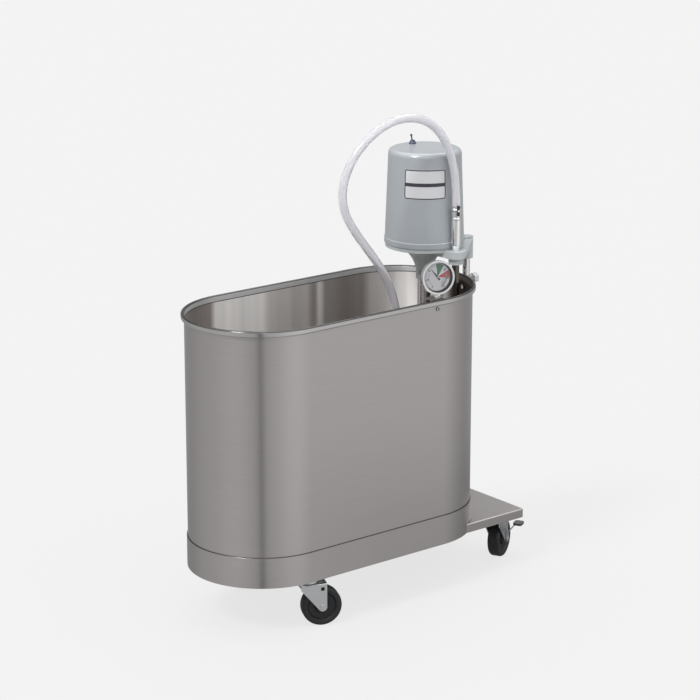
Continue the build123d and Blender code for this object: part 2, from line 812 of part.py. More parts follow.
# Motor: frame, stator, end bell, bearings, rotor, shaft and fan
motor_at = (motor_x, 0)
frame_inner = frame_radius - frame_wall
stator_bottom = flange_top + stator_lift
pieces["motor_frame"] = sleeve(frame_radius, frame_inner, flange_top, frame_height, motor_at)
pieces["stator_core"] = sleeve(frame_inner - seat_gap, stator_bore, stator_bottom, stator_height, motor_at)
with BuildPart() as end_bell:
    with BuildSketch(Plane.XY.offset(frame_top)):
        with Locations(motor_at):
            Circle(frame_radius)
            with PolarLocations((frame_radius + bell_boss_radius) / 2, 6):
                Circle(bell_boss_radius / 2, mode=Mode.SUBTRACT)
    extrude(amount=bell_thickness)
    with BuildSketch(Plane.XY.offset(frame_top - bell_thickness)):
        with Locations(motor_at):
            Circle(bell_boss_radius)
    extrude(amount=2 * bell_thickness)
    with BuildSketch(Plane.XY.offset(frame_top - bell_thickness)):
        with Locations(motor_at):
            Circle(bearing_radius + seat_gap)
    extrude(amount=bearing_width, mode=Mode.SUBTRACT)
    with BuildSketch(Plane.XY.offset(frame_top - bell_thickness)):
        with Locations(motor_at):
            Circle(shaft_radius + 1)
    extrude(amount=2 * bell_thickness, mode=Mode.SUBTRACT)
pieces["end_bell"] = end_bell.part
with BuildPart() as motor_bearings:
    for level in (flange_top - bearing_width, frame_top - bell_thickness):
        add(sleeve(bearing_radius, shaft_radius + running_gap, level, bearing_width, motor_at))
pieces["motor_bearings"] = motor_bearings.part
rotor_bottom = stator_bottom + (stator_height - rotor_height) / 2
pieces["rotor_core"] = sleeve(rotor_radius, shaft_radius + seat_gap, rotor_bottom, rotor_height, motor_at)
fan_bottom = frame_top + 2 * bell_thickness
impeller_bottom = pump_bottom + (pump_height - pump_top_wall - impeller_height) / 2
shaft_top = fan_bottom + fan_height + 4
with BuildPart() as motor_shaft:
    with BuildSketch(Plane.XY.offset(impeller_bottom)):
        with Locations(motor_at):
            Circle(shaft_radius)
    extrude(amount=shaft_top - impeller_bottom)
    chamfer(motor_shaft.edges().group_by(Axis.Z)[-1], 1)
pieces["motor_shaft"] = motor_shaft.part


def bladed_wheel(radius, hub, disc, height, count, bottom, lean):
    """A disc with blades that stand on it, for the fan and the pump."""
    with BuildPart() as wheel:
        with BuildSketch(Plane.XY.offset(bottom)):
            with Locations(motor_at):
                Circle(radius)
        extrude(amount=disc)
        with BuildSketch(Plane.XY.offset(bottom)):
            with Locations(motor_at):
                Circle(hub)
        extrude(amount=height)
        with BuildSketch(Plane.XY.offset(bottom)):
            with Locations(motor_at):
                with PolarLocations((radius + hub) / 2 - 1, count):
                    Rectangle(radius - hub, blade_thickness, rotation=lean)
        extrude(amount=height)
        with BuildSketch(Plane.XY.offset(bottom)):
            with Locations(motor_at):
                Circle(shaft_radius + seat_gap)
        extrude(amount=height, mode=Mode.SUBTRACT)
    return wheel.part


pieces["cooling_fan"] = bladed_wheel(
    fan_radius, impeller_hub_radius, blade_thickness, fan_height, fan_blades, fan_bottom, 0
)
pieces["impeller"] = bladed_wheel(
    impeller_radius, impeller_hub_radius, impeller_disc, impeller_height, blade_count, impeller_bottom, 24
)

# Column down into the tub, with the bush that steadies the shaft
column_inner = column_radius - column_wall
column_length = column_top - column_bottom
pieces["column_tube"] = sleeve(column_radius, column_inner, column_bottom, column_length, motor_at)
pieces["column_bush"] = sleeve(
    column_inner - seat_gap, shaft_radius + running_gap, column_bottom, bush_length, motor_at
)

# Pump housing with an outlet for the nozzle and one for the pipe
outlet_level = pump_bottom + (pump_height - pump_top_wall) / 2
outlet_start = Vector(motor_x, 0, outlet_level)
pipe_port = Plane(origin=outlet_start, x_dir=(0, 0, 1), z_dir=pipe_direction)
nozzle_port = Plane(origin=outlet_start, x_dir=(0, 0, 1), z_dir=(-1, 0, 0))
with BuildPart() as pump_housing:
    with BuildSketch(Plane.XY.offset(pump_bottom)):
        with Locations(motor_at):
            Circle(pump_radius)
    extrude(amount=pump_height)
    fillet(pump_housing.edges().group_by(Axis.Z)[-1], 5)
    with BuildSketch(Plane.XY.offset(column_bottom)):
        with Locations(motor_at):
            Circle(pump_collar_radius)
    extrude(amount=pump_collar_height)
    with BuildSketch(Plane.XY.offset(column_bottom)):
        with Locations(motor_at):
            Circle(column_radius + seat_gap)
    extrude(amount=pump_collar_height, mode=Mode.SUBTRACT)
    with BuildSketch(Plane.XY.offset(pump_bottom)):
        with Locations(motor_at):
            Circle(pump_radius - pump_wall)
    extrude(amount=pump_height - pump_top_wall, mode=Mode.SUBTRACT)
    with BuildSketch(Plane.XY.offset(cavity_top)):
        with Locations(motor_at):
            Circle(shaft_radius + 1)
    extrude(amount=pump_top_wall, mode=Mode.SUBTRACT)
    for port, radius in ((pipe_port, pipe_radius + seat_gap), (nozzle_port, nozzle_radius + seat_gap)):
        with BuildSketch(port):
            Circle(radius)
        extrude(amount=pump_radius + 1, mode=Mode.SUBTRACT)
pieces["pump_housing"] = pump_housing.part

# Strainer under the pump, slotted all round
with BuildPart() as inlet_strainer:
    with BuildSketch(Plane.XY.offset(pump_bottom - strainer_height)):
        with Locations(motor_at):
            Circle(pump_radius)
    extrude(amount=strainer_height)
    with BuildSketch(Plane.XY.offset(pump_bottom - strainer_height + pump_wall)):
        with Locations(motor_at):
            Circle(pump_radius - pump_wall)
    extrude(amount=strainer_height, mode=Mode.SUBTRACT)
    with BuildSketch(Plane.XY.offset(pump_bottom - strainer_height + pump_wall)):
        with Locations(motor_at):
            with PolarLocations(pump_radius - pump_wall / 2, strainer_slots):
                Rectangle(3 * pump_wall, slot_width)
    extrude(amount=strainer_height - 2 * pump_wall, mode=Mode.SUBTRACT)
pieces["inlet_strainer"] = inlet_strainer.part

# Nozzle that throws the jet along the tub
with BuildPart() as jet_nozzle:
    with BuildSketch(nozzle_port.offset(pump_radius - pump_wall)):
        Circle(nozzle_radius)
    extrude(amount=nozzle_length * 0.6)
    with BuildSketch(nozzle_port.offset(pump_radius - pump_wall + nozzle_length * 0.6)):
        Circle(nozzle_radius)
    extrude(amount=nozzle_length * 0.4, taper=8)
    with BuildSketch(nozzle_port.offset(pump_radius - pump_wall)):
        Circle(nozzle_bore * 0.8)
    extrude(amount=nozzle_length, mode=Mode.SUBTRACT)
pieces["jet_nozzle"] = jet_nozzle.part

# Discharge pipe: out of the pump, round one bend and up into the lug
pipe_start = outlet_start + pipe_direction * (pump_radius - pump_wall)
with BuildPart() as discharge_pipe:
    with BuildLine():
        FilletPolyline(
            pipe_start,
            Vector(riser_x, riser_y, outlet_level),
            Vector(riser_x, riser_y, lug_bottom + lug_boss_height / 2 - sheet_gap),
            radius=pipe_bend,
        )
    with BuildSketch(Plane(origin=pipe_start, z_dir=pipe_direction)):
        Circle(pipe_radius)
        Circle(pipe_radius - pipe_wall, mode=Mode.SUBTRACT)
    sweep()
pieces["discharge_pipe"] = discharge_pipe.part

# Riser above the lug, with a slim nose, and the ferrule that grips the hose
riser_plane = Plane(origin=(riser_x, riser_y, 0), x_dir=(1, 0, 0), z_dir=(0, -1, 0))
riser_axis = Axis((riser_x, riser_y, 0), (0, 0, 1))
nose_bottom = lug_top - lug_depth / 2 + sheet_gap
with BuildPart() as riser_tube:
    with BuildSketch(riser_plane):
        with BuildLine():
            Polyline(
                (riser_bore, nose_bottom),
                (riser_nose_radius, nose_bottom),
                (riser_nose_radius, lug_top + 3),
                (riser_radius, lug_top + 16),
                (riser_radius, riser_top),
                (riser_bore, riser_top),
                close=True,
            )
        make_face()
    revolve(axis=riser_axis)
pieces["riser_tube"] = riser_tube.part
with BuildPart() as hose_ferrule:
    with BuildSketch(riser_plane):
        with BuildLine():
            Polyline(
                (riser_bore, riser_top),
                (ferrule_radius, riser_top),
                (ferrule_radius, riser_top + 6),
                (hose_radius + 0.8, riser_top + 9),
                (hose_radius + 0.8, riser_top + 13),
                (ferrule_radius, riser_top + 14),
                (ferrule_radius, riser_top + 24),
                (hose_radius + 0.8, riser_top + 25),
                (hose_radius + 0.4, hose_start),
                (riser_bore, hose_start),
                close=True,
            )
        make_face()
    revolve(axis=riser_axis)
pieces["hose_ferrule"] = hose_ferrule.part

# Hose: up over the motor, down in a wide loop and into the tub, where its end hangs free
hose_points = [
    (riser_x, riser_y, hose_start),
    (riser_x, riser_y, 1024.0),
    (303.0, -112.0, 1084.0),
    (287.0, -108.0, 1139.0),
    (259.0, -105.0, 1182.0),
    (222.0, -101.0, 1211.0),
    (178.0, -96.0, 1224.0),
    (132.0, -92.0, 1223.0),
    (87.0, -87.0, 1208.0),
    (44.0, -82.0, 1180.0),
    (7.0, -77.0, 1141.0),
    (-16.0, -73.0, 1094.0),
    (-21.0, -69.0, 1046.0),
    (-8.0, -66.0, 1000.0),
    (22.0, -63.0, 955.0),
    (61.0, -60.0, 909.0),
    (98.0, -57.0, 865.0),
    (130.0, -54.0, 822.0),
    (155.0, -50.0, 775.0),
    (173.0, -46.0, 722.0),
    (186.0, -42.0, 664.0),
    (194.0, -39.0, 602.0),
    (197.0, -36.0, 540.0),
    (196.0, -33.0, 478.0),
    (191.0, -30.0, 416.0),
    (184.0, -28.0, 355.0),
    (178.0, -27.0, 294.0),
    (174.0, -26.0, 236.0),
]
hose_runs = [Vector(*b) - Vector(*a) for a, b in zip(hose_points, hose_points[1:])]
hose_turns = [a.get_angle(b) for a, b in zip(hose_runs, hose_runs[1:])]
hose_bends = []
for first, second, turn in zip(hose_runs, hose_runs[1:], hose_turns):
    half_turn = radians(turn / 2)
    hose_bends.append(0.45 * min(first.length, second.length) * cos(half_turn) / sin(half_turn))
with BuildPart() as hose:
    with BuildLine() as hose_line:
        FilletPolyline(*hose_points, radius=hose_bends)
    with BuildSketch(Plane.XY.offset(hose_start)):
        with Locations((riser_x, riser_y)):
            Circle(hose_radius)
    sweep()
pieces["hose"] = hose.part

# Toggle switch: body and bush under the can, boot on top, lever with a ball tip
switch_at = (motor_x + switch_offset_x, switch_offset_y)
can_ceiling = can_top - can_wall
with BuildPart() as switch_body:
    with BuildSketch(Plane.XY.offset(can_ceiling - sheet_gap - switch_body_height)):
        with Locations(switch_at):
            Rectangle(switch_body_length, switch_body_width)
    extrude(amount=switch_body_height)
    with BuildSketch(Plane.XY.offset(can_ceiling - sheet_gap)):
        with Locations(switch_at):
            Circle(switch_bush_radius)
    extrude(amount=can_wall + sheet_gap + switch_bush_rise)
    with BuildSketch(Plane.XY.offset(can_top - switch_bush_rise)):
        with Locations(switch_at):
            Circle(switch_bush_bore)
    extrude(amount=2 * switch_bush_rise, mode=Mode.SUBTRACT)
pieces["switch_body"] = switch_body.part
switch_plane = Plane(origin=(switch_at[0], switch_at[1], can_top), x_dir=(1, 0, 0), z_dir=(0, -1, 0))
with BuildPart() as switch_boot:
    with BuildSketch(switch_plane):
        with BuildLine():
            Polyline(
                (switch_bush_radius + running_gap, 0),
                (boot_radius, 0),
                (boot_radius, 1.5),
                (boot_top_radius, boot_height),
                (boot_opening, boot_height),
                (boot_opening, switch_bush_rise + 0.4),
                (switch_bush_radius + running_gap, switch_bush_rise + 0.4),
                close=True,
            )
        make_face()
    revolve(axis=Axis(switch_plane.origin, (0, 0, 1)))
pieces["switch_boot"] = switch_boot.part
lever_pivot = Vector(switch_at[0], switch_at[1], can_top + 1)
with BuildPart() as upright_lever:
    Sphere(lever_pivot_radius)
    Cylinder(lever_pin_radius, 2 * lever_pin_reach, rotation=(90, 0, 0))
    Cylinder(lever_radius, lever_height, align=(Align.CENTER, Align.CENTER, Align.MIN))
    with Locations((0, 0, lever_height)):
        Sphere(lever_ball_radius)
pieces["switch_lever"] = upright_lever.part.moved(Location(lever_pivot, (0, -lever_lean, 0)))

# Gland for the motor's cord, on the far side of the can
gland_center = (motor_x, 0, flange_top + gland_height)
gland_plane = Plane(origin=gland_center, x_dir=(0, 1, 0), z_dir=(1, 0, 0))
gland_seat = can_base_radius + sheet_gap
can_inner = can_base_radius - can_wall - 2 * sheet_gap
locknut_start = sqrt(can_inner**2 - gland_hex_radius**2) - sheet_gap - locknut_length
with BuildPart() as cord_gland:
    with BuildSketch(gland_plane):
        with BuildLine():
            Polyline(
                (locknut_start, gland_bore),
                (locknut_start, gland_hex_radius),
                (locknut_start + locknut_length, gland_hex_radius),
                (locknut_start + locknut_length, gland_radius),
                (gland_seat, gland_radius),
                (gland_seat, gland_hex_radius),
                (gland_seat + gland_hex_length, gland_hex_radius),
                (gland_seat + gland_hex_length, gland_nut_radius),
                (gland_seat + gland_hex_length + gland_nut_length - 3, gland_nut_radius),
                (gland_seat + gland_hex_length + gland_nut_length, gland_nut_radius - 3),
                (gland_seat + gland_hex_length + gland_nut_length, gland_bore),
                close=True,
            )
        make_face()
    revolve(axis=Axis(gland_center, (0, 1, 0)))
pieces["cord_gland"] = cord_gland.part

# Thermometer, drawn on a plane that faces out of its lens
face_out = Vector(
    -sin(radians(dial_turn)) * cos(radians(dial_tilt)),
    -cos(radians(dial_turn)) * cos(radians(dial_tilt)),
    sin(radians(dial_tilt)),
)
face_right = Vector(0, 0, 1).cross(face_out).normalized()
dial_plane = Plane(origin=(dial_x, dial_y, dial_height), x_dir=face_right, z_dir=face_out)
case_front = -bezel_lip - lens_thickness - 2 * seat_gap
case_back = case_front - case_depth
with BuildPart() as thermometer_case:
    with BuildSketch(dial_plane.offset(case_back)):
        Circle(case_radius)
    extrude(amount=case_depth)
    with BuildSketch(dial_plane.offset(case_back + case_wall)):
        Circle(case_radius - case_wall)
    extrude(amount=case_depth, mode=Mode.SUBTRACT)
pieces["thermometer_case"] = thermometer_case.part
with BuildPart() as thermometer_bezel:
    with BuildSketch(dial_plane):
        Circle(case_radius + bezel_width - 3)
    extrude(amount=-bezel_depth)
    with BuildSketch(dial_plane):
        Circle(case_radius - 3)
    extrude(amount=-bezel_depth, mode=Mode.SUBTRACT)
    with BuildSketch(dial_plane.offset(-bezel_lip)):
        Circle(case_radius + seat_gap)
    extrude(amount=-bezel_depth, mode=Mode.SUBTRACT)
pieces["thermometer_bezel"] = thermometer_bezel.part
with BuildPart() as thermometer_lens:
    with BuildSketch(dial_plane.offset(-bezel_lip - seat_gap)):
        Circle(case_radius - seat_gap)
    extrude(amount=-lens_thickness)
pieces["thermometer_lens"] = thermometer_lens.part
dial_level = case_front - dial_recess
with BuildPart() as thermometer_dial:
    with BuildSketch(dial_plane.offset(dial_level)):
        Circle(case_radius - case_wall - seat_gap)
        Circle(spindle_radius + 2 * seat_gap, mode=Mode.SUBTRACT)
    extrude(amount=-dial_thickness)
pieces["thermometer_dial"] = thermometer_dial.part
with BuildPart() as thermometer_pointer:
    with BuildSketch(dial_plane.offset(dial_level + 2 * pointer_sheet)):
        with BuildLine():
            Polyline(
                (-pointer_tail, -pointer_width),
                (-pointer_tail, pointer_width),
                (pointer_length, pointer_width / 8),
                (pointer_length, -pointer_width / 8),
                close=True,
            )
        make_face()
        Circle(1.3 * pointer_width)
    extrude(amount=pointer_sheet)
    with BuildSketch(dial_plane.offset(dial_level + 2 * pointer_sheet)):
        Circle(spindle_radius)
    extrude(amount=-(dial_level + 2 * pointer_sheet - case_back - case_wall - seat_gap))
dial_spin = Location((0, 0, 0), (0, 0, pointer_angle))
turned_dial = dial_plane.location * dial_spin * dial_plane.location.inverse()
pieces["thermometer_pointer"] = thermometer_pointer.part.moved(turned_dial)

# Stem that hangs from the case into the water, and the clip that holds it on the wall
stem_depth = bezel_depth + sheet_gap + stem_radius
stem_spot = dial_plane.from_local_coords(Vector(0, -case_radius, -stem_depth))
stem_at = (stem_spot.X, stem_spot.Y)
stem_top = stem_spot.Z - stem_radius * sin(radians(dial_tilt)) - sheet_gap
clip_top = stem_top - stem_neck - stem_nut_height
with BuildPart() as thermometer_stem:
    with BuildSketch(Plane.XY.offset(clip_top)):
        with Locations(stem_at):
            RegularPolygon(stem_nut_radius, 6)
    extrude(amount=stem_nut_height)
    with BuildSketch(Plane.XY.offset(stem_top)):
        with Locations(stem_at):
            Circle(stem_radius)
    extrude(amount=-stem_length)
    fillet(thermometer_stem.edges().group_by(Axis.Z)[0], stem_radius * 0.9)
pieces["thermometer_stem"] = thermometer_stem.part
wall_face = -end_radius + tub_wall + sheet_gap
clip_x = dial_x + clip_offset
shelf_x = clip_x - clip_width / 2 + clip_shelf_width / 2
screw_at = (dial_x + screw_offset, rim_bottom - screw_drop)
with BuildPart() as thermometer_clip:
    with BuildSketch(Plane.XY.offset(clip_top - clip_sheet)):
        with Locations((shelf_x, wall_face + clip_reach / 2)):
            Rectangle(clip_shelf_width, clip_reach)
        with Locations(stem_at):
            Circle(stem_radius + bolt_gap, mode=Mode.SUBTRACT)
    extrude(amount=clip_sheet)
    with BuildSketch(Plane.XY.offset(clip_top - clip_drop)):
        with Locations((clip_x, wall_face + clip_sheet / 2)):
            Rectangle(clip_width, clip_sheet)
    extrude(amount=clip_drop)
    with BuildSketch(Plane.XZ.offset(-wall_face)):
        with Locations(screw_at):
            Circle(screw_radius + bolt_gap)
        with Locations((clip_x, clip_top - clip_sheet - clip_hole_drop)):
            Circle(clip_hole_radius)
    extrude(amount=-clip_sheet, mode=Mode.SUBTRACT)
pieces["thermometer_clip"] = thermometer_clip.part
with BuildPart() as clip_screw:
    outer_face = end_radius + sheet_gap
    inner_face = -wall_face - clip_sheet - sheet_gap
    with BuildSketch(Plane.XZ.offset(inner_face)):
        with Locations(screw_at):
            Circle(screw_radius)
    extrude(amount=outer_face - inner_face)
    with BuildSketch(Plane.XZ.offset(outer_face)):
        with Locations(screw_at):
            Circle(screw_head_radius)
    extrude(amount=screw_head_height)
    fillet(clip_screw.edges().group_by(Axis.Y)[0], screw_head_height * 0.6)
    with BuildSketch(Plane.XZ.offset(inner_face)):
        with Locations(screw_at):
            RegularPolygon(screw_head_radius, 6)
    extrude(amount=-screw_head_height)
pieces["clip_screw"] = clip_screw.part

# The origin lies under the middle of the footprint of everything but the hose
boxes = [part.bounding_box() for name, part in pieces.items() if name != "hose"]
middle_x = (min(box.min.X for box in boxes) + max(box.max.X for box in boxes)) / 2
middle_y = (min(box.min.Y for box in boxes) + max(box.max.Y for box in boxes)) / 2
to_origin = Location((-middle_x, -middle_y, 0))

for name, part in pieces.items():
    placed = part.moved(to_origin)
    placed.label = name
    export_step(placed, "parts/" + name + ".step")

hose_length = sum(edge.length for edge in hose_line.edges())
hose_section = 3.14159265 * hose_radius**2
print("nodes", len(pieces))
print("middle of the footprint", round(middle_x, 3), round(middle_y, 3))
hose_fill = hose.part.volume / (hose_section * hose_length)
print("hose length", round(hose_length, 1), "volume ratio", round(hose_fill, 4))
print("hose bends", [round(bend) for bend in hose_bends])
print("hose turns", [round(turn) for turn in hose_turns])
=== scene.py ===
import bpy
import bmesh
import math
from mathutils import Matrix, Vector


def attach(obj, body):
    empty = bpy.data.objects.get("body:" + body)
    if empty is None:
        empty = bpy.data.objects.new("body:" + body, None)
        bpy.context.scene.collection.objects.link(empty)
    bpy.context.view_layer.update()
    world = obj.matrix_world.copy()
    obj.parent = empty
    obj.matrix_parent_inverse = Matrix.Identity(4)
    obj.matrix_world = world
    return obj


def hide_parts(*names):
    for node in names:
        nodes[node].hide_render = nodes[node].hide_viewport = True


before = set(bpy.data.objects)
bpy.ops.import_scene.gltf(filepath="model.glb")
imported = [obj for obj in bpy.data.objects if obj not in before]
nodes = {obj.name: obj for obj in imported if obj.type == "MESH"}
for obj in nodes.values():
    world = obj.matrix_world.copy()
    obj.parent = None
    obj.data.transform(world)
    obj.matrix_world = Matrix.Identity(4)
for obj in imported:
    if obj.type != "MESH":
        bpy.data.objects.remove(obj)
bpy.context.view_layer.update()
scene = bpy.context.scene
UP = Vector((0, 0, 1))

# Places shared with the solids, in metres
TUB_X = -0.070757
END_CENTER = 0.2174
RIM_BOTTOM, RIM_TOP = 0.7645, 0.7795
SKIRT_TOP = 0.208
MOTOR_X = TUB_X + 0.303
FLANGE_TOP, CAN_HEIGHT, CAN_SHOULDER = 0.878, 0.241, 0.013
CAN_BASE_R, CAN_TOP_R = 0.101, 0.093
RISER_X, RISER_Y = TUB_X + 0.309, -0.115
LUG_BOTTOM = 0.860
SCREW_X, SCREW_Z = TUB_X + 0.187, 0.7555
PEDAL_LEVEL = 0.0925

# The dial: its middle, the way it faces, the depth of its printed face and the reach of the painted shade
# inside its bezel and case
DIAL = Vector((TUB_X + 0.1947, -0.1823, 0.833))
DIAL_TURN, DIAL_TILT = math.radians(18), math.radians(5)
DIAL_DEPTH = 0.0087
BEZEL_SHADE_R, CASE_SHADE_R, SHADE_BACK = 0.0377, 0.0394, 0.0097
FACE_OUT = Vector((-math.sin(DIAL_TURN) * math.cos(DIAL_TILT),
                   -math.cos(DIAL_TURN) * math.cos(DIAL_TILT), math.sin(DIAL_TILT)))
FACE_RIGHT = UP.cross(FACE_OUT).normalized()
FACE_UP = FACE_OUT.cross(FACE_RIGHT)

# Base colours of the metals and of the patches that lie on them, some of them painted light and shade
STEEL = (0.46, 0.436, 0.434)
# The inner wall's pale base and the warm tone of its darker bands are painted reflections
INNER_LIT_PALE, INNER_SHADE_WARM = (0.98, 0.965, 0.95), (1.0, 0.86, 0.79)
# The rim's inside is paler than its outside: a painted reflection
RIM_OUTSIDE, RIM_INSIDE_LIT = (0.52, 0.51, 0.505), (0.80, 0.80, 0.80)
# The tub's inner end, dark on the sheet and on the rim: a painted dark reflection
END_DARK_REFLECTION, RIM_END_DARK_REFLECTION = (0.07, 0.055, 0.046), (0.12, 0.105, 0.095)
# Dark lines round the tub: painted shade and reflection; the skirt's darker upper edge is a dark joint with
# painted shade
PAINTED_LINE_DARK, SKIRT_EDGE_SHADE = (0.035, 0.032, 0.03), (0.15, 0.138, 0.13)
CHROME, CHROME_WIPED = (0.74, 0.74, 0.75), (0.70, 0.70, 0.71)
RISER_CHROME, DARK_BELOW_LUG = (0.90, 0.90, 0.91), (0.13, 0.115, 0.10)
# The dark inside of the dial's bezel and case: painted shade
LINING_PAINTED_SHADE = (0.02, 0.02, 0.022)
LEVER_ZINC, PAD_DARK = (0.52, 0.525, 0.535), (0.045, 0.045, 0.055)

# How fine the streaks of the brushing are along X, Y and Z
GRAIN_LEVEL, GRAIN_CROSSWAYS, GRAIN_DOWN = (6, 6, 700), (700, 6, 6), (26, 26, 0.7)

# Painted reflections on the tub's inner wall, as its tone along its length: (place from one end to the other,
# level)
INNER_REFLECTION_TONES = [
    (0.14, 0.42), (0.215, 0.46), (0.235, 0.95), (0.30, 1.0), (0.415, 1.0), (0.44, 0.80), (0.585, 0.74),
    (0.605, 0.50), (0.615, 0.52), (0.628, 0.96), (0.64, 0.92), (0.652, 0.56), (0.74, 0.46), (0.80, 0.52),
    (0.825, 0.82), (0.87, 0.80), (0.91, 0.95), (1.0, 1.0),
]
REFLECTION_TONES_REACH = END_CENTER + 0.2

# Where finishes start and are full: faces turned inward (with painted reflections), the rim, the skirt's edge
# (with painted shade), the lug and the pedal
INWARD_FADE, RIM_FADE, SKIRT_FADE = (-0.02, -0.06), (-0.0015, -0.0005), (-0.0012, -0.0008)
LUG_FADE, PEDAL_FADE = (0.001, 0.0), (0.0, 0.0005)

# The painted dark reflection on the tub's inner end: where it fades in and out along Y, and in along X
PATCH_FROM, PATCH_TO, PATCH_FADE = (-0.175, -0.155), (0.028, 0.008), 0.02

# Painted dark lines round the tub, the rim's crest a painted reflection, under the rim a painted shadow, the
# skirt's upper edge a dark joint with painted shade: (level, half width in full tone, half width with the
# fade, strength)
PAINTED_DARK_LINES = [
    (RIM_TOP, 0.0026, 0.0034, 0.88),
    (RIM_BOTTOM - 0.0004, 0.0007, 0.0012, 1.0),
    (SKIRT_TOP, 0.0011, 0.0016, 0.75),
]


# Materials
class Tree:
    """A node tree built up step by step."""

    def __init__(self, tree):
        self.t = tree
        self.coord = self.new("ShaderNodeTexCoord")

    def new(self, kind, **values):
        n = self.t.nodes.new(kind)
        for k, v in values.items():
            setattr(n, k, v)
        return n

    def feed(self, socket, value):
        """Gives a socket a number, a vector or a colour, or links another socket to it."""
        if isinstance(value, (int, float, Vector)):
            socket.default_value = value
        elif isinstance(value, tuple):
            socket.default_value = (*value, 1)
        else:
            self.t.links.new(value, socket)

    def split(self, output):
        """The X, Y and Z of a kind of coordinates."""
        n = self.new("ShaderNodeSeparateXYZ")
        self.feed(n.inputs[0], self.coord.outputs[output])
        return n.outputs

    def mapping(self, scale):
        n = self.new("ShaderNodeMapping")
        n.inputs["Scale"].default_value = scale
        self.feed(n.inputs["Vector"], self.coord.outputs["Object"])
        return n.outputs["Vector"]

    def noise(self, scale, vector=None, detail=4.0, rough=0.55):
        n = self.new("ShaderNodeTexNoise")
        n.inputs["Scale"].default_value = scale
        n.inputs["Detail"].default_value = detail
        n.inputs["Roughness"].default_value = rough
        self.feed(n.inputs["Vector"], vector if vector is not None else self.coord.outputs["Object"])
        return n.outputs["Fac"]

    def range(self, value, start, end, low=0.0, high=1.0, curve="LINEAR"):
        """Takes a value from one range to another, and holds it at the ends."""
        n = self.new("ShaderNodeMapRange", interpolation_type=curve)
        for socket, v in zip(n.inputs, (value, start, end, low, high)):
            self.feed(socket, v)
        return n.outputs[0]

    def ramp(self, value, stops):
        """A run of greys over stops of (place from 0 to 1, level)."""
        n = self.new("ShaderNodeValToRGB")
        elements = n.color_ramp.elements
        while len(elements) < len(stops):
            elements.new(0.5)
        for e, (at, level) in zip(elements, stops):
            e.position = at
            e.color = (*grey(level), 1)
        self.feed(n.inputs[0], value)
        return n.outputs[0]

    def mix(self, fac, a, b, way="MIX"):
        n = self.new("ShaderNodeMix", data_type="RGBA", blend_type=way)
        for socket, value in ((n.inputs[0], fac), (n.inputs[6], a), (n.inputs[7], b)):
            self.feed(socket, value)
        return n.outputs[2]

    def tint(self, a, b):
        """Two colours multiplied."""
        return self.mix(1.0, a, b, "MULTIPLY")

    def math(self, op, a, b=0.0):
        n = self.new("ShaderNodeMath", operation=op)
        self.feed(n.inputs[0], a)
        self.feed(n.inputs[1], b)
        return n.outputs[0]

    def times(self, a, b):
        return self.math("MULTIPLY", a, b)

    def over(self, value, level, fade):
        """Zero to one over a fade that starts and ends so far from a level."""
        return self.range(value, level + fade[0], level + fade[1])

    def off(self, value, level):
        """How far a value lies from a level, to either side."""
        return self.math("ABSOLUTE", self.math("SUBTRACT", value, level))

    def vector(self, op, a, b):
        n = self.new("ShaderNodeVectorMath", operation=op)
        self.feed(n.inputs[0], a)
        self.feed(n.inputs[1], b)
        return n.outputs["Value" if op == "DOT_PRODUCT" else "Vector"]

    def ray(self, kind):
        return self.new("ShaderNodeLightPath").outputs[f"Is {kind} Ray"]

    def seen(self):
        """One for what shows straight or through a clear piece."""
        return self.math("MAXIMUM", self.ray("Camera"), self.ray("Transmission"))

    def shader(self, kind, colour):
        n = self.new(kind)
        self.feed(n.inputs["Color"], colour)
        return n.outputs[0]

    def blend(self, fac, a, b):
        """Two shaders mixed."""
        n = self.new("ShaderNodeMixShader")
        for socket, value in zip(n.inputs, (fac, a, b)):
            self.feed(socket, value)
        return n.outputs[0]


class Mat(Tree):
    """A material round one principled shader."""

    def __init__(self, name):
        self.m = bpy.data.materials.new(name)
        self.m.use_nodes = True
        super().__init__(self.m.node_tree)
        self.bsdf = self.t.nodes["Principled BSDF"]

    def set(self, **values):
        for k, v in values.items():
            self.bsdf.inputs[k.replace("_", " ")].default_value = v
        return self

    def colour(self, value):
        self.feed(self.bsdf.inputs["Base Color"], value)

    def roughness(self, value):
        self.feed(self.bsdf.inputs["Roughness"], value)

    def metallic(self, value):
        self.feed(self.bsdf.inputs["Metallic"], value)

    def bump(self, height, strength, distance):
        n = self.new("ShaderNodeBump")
        n.inputs["Strength"].default_value = strength
        n.inputs["Distance"].default_value = distance
        self.feed(n.inputs["Height"], height)
        self.feed(self.bsdf.inputs["Normal"], n.outputs["Normal"])

    def tangent(self, direction):
        n = self.new("ShaderNodeCombineXYZ")
        for i, v in enumerate(direction):
            n.inputs[i].default_value = v
        self.feed(self.bsdf.inputs["Tangent"], n.outputs[0])


def grey(level):
    return (level,) * 3


def tinted(base, share):
    return tuple(min(1.0, c * share) for c in base)


def streaked(k, streak, base):
    """A base colour, a little darker and lighter in the streaks."""
    return k.mix(k.range(streak, 0.25, 0.75), tinted(base, 0.94), tinted(base, 1.06))


def brushed(name, base, rough, grain=GRAIN_LEVEL, across=(0, 0, 1), aniso=0.75):
    """Brushed stainless: fine streaks along the grain, and reflections blurred across it."""
    k = Mat(name).set(Metallic=1.0, Anisotropic=aniso)
    streak = k.noise(1.0, k.mapping(grain), detail=6.0, rough=0.7)
    cloud = k.noise(3.0, detail=3.0)
    k.colour(streaked(k, streak, base))
    fine = k.range(streak, 0.2, 0.8, rough - 0.05, rough + 0.06)
    k.roughness(k.math("ADD", fine, k.range(cloud, 0.3, 0.7, -0.02, 0.02)))
    k.tangent(across)
    k.bump(streak, strength=0.05, distance=0.0003)
    return k


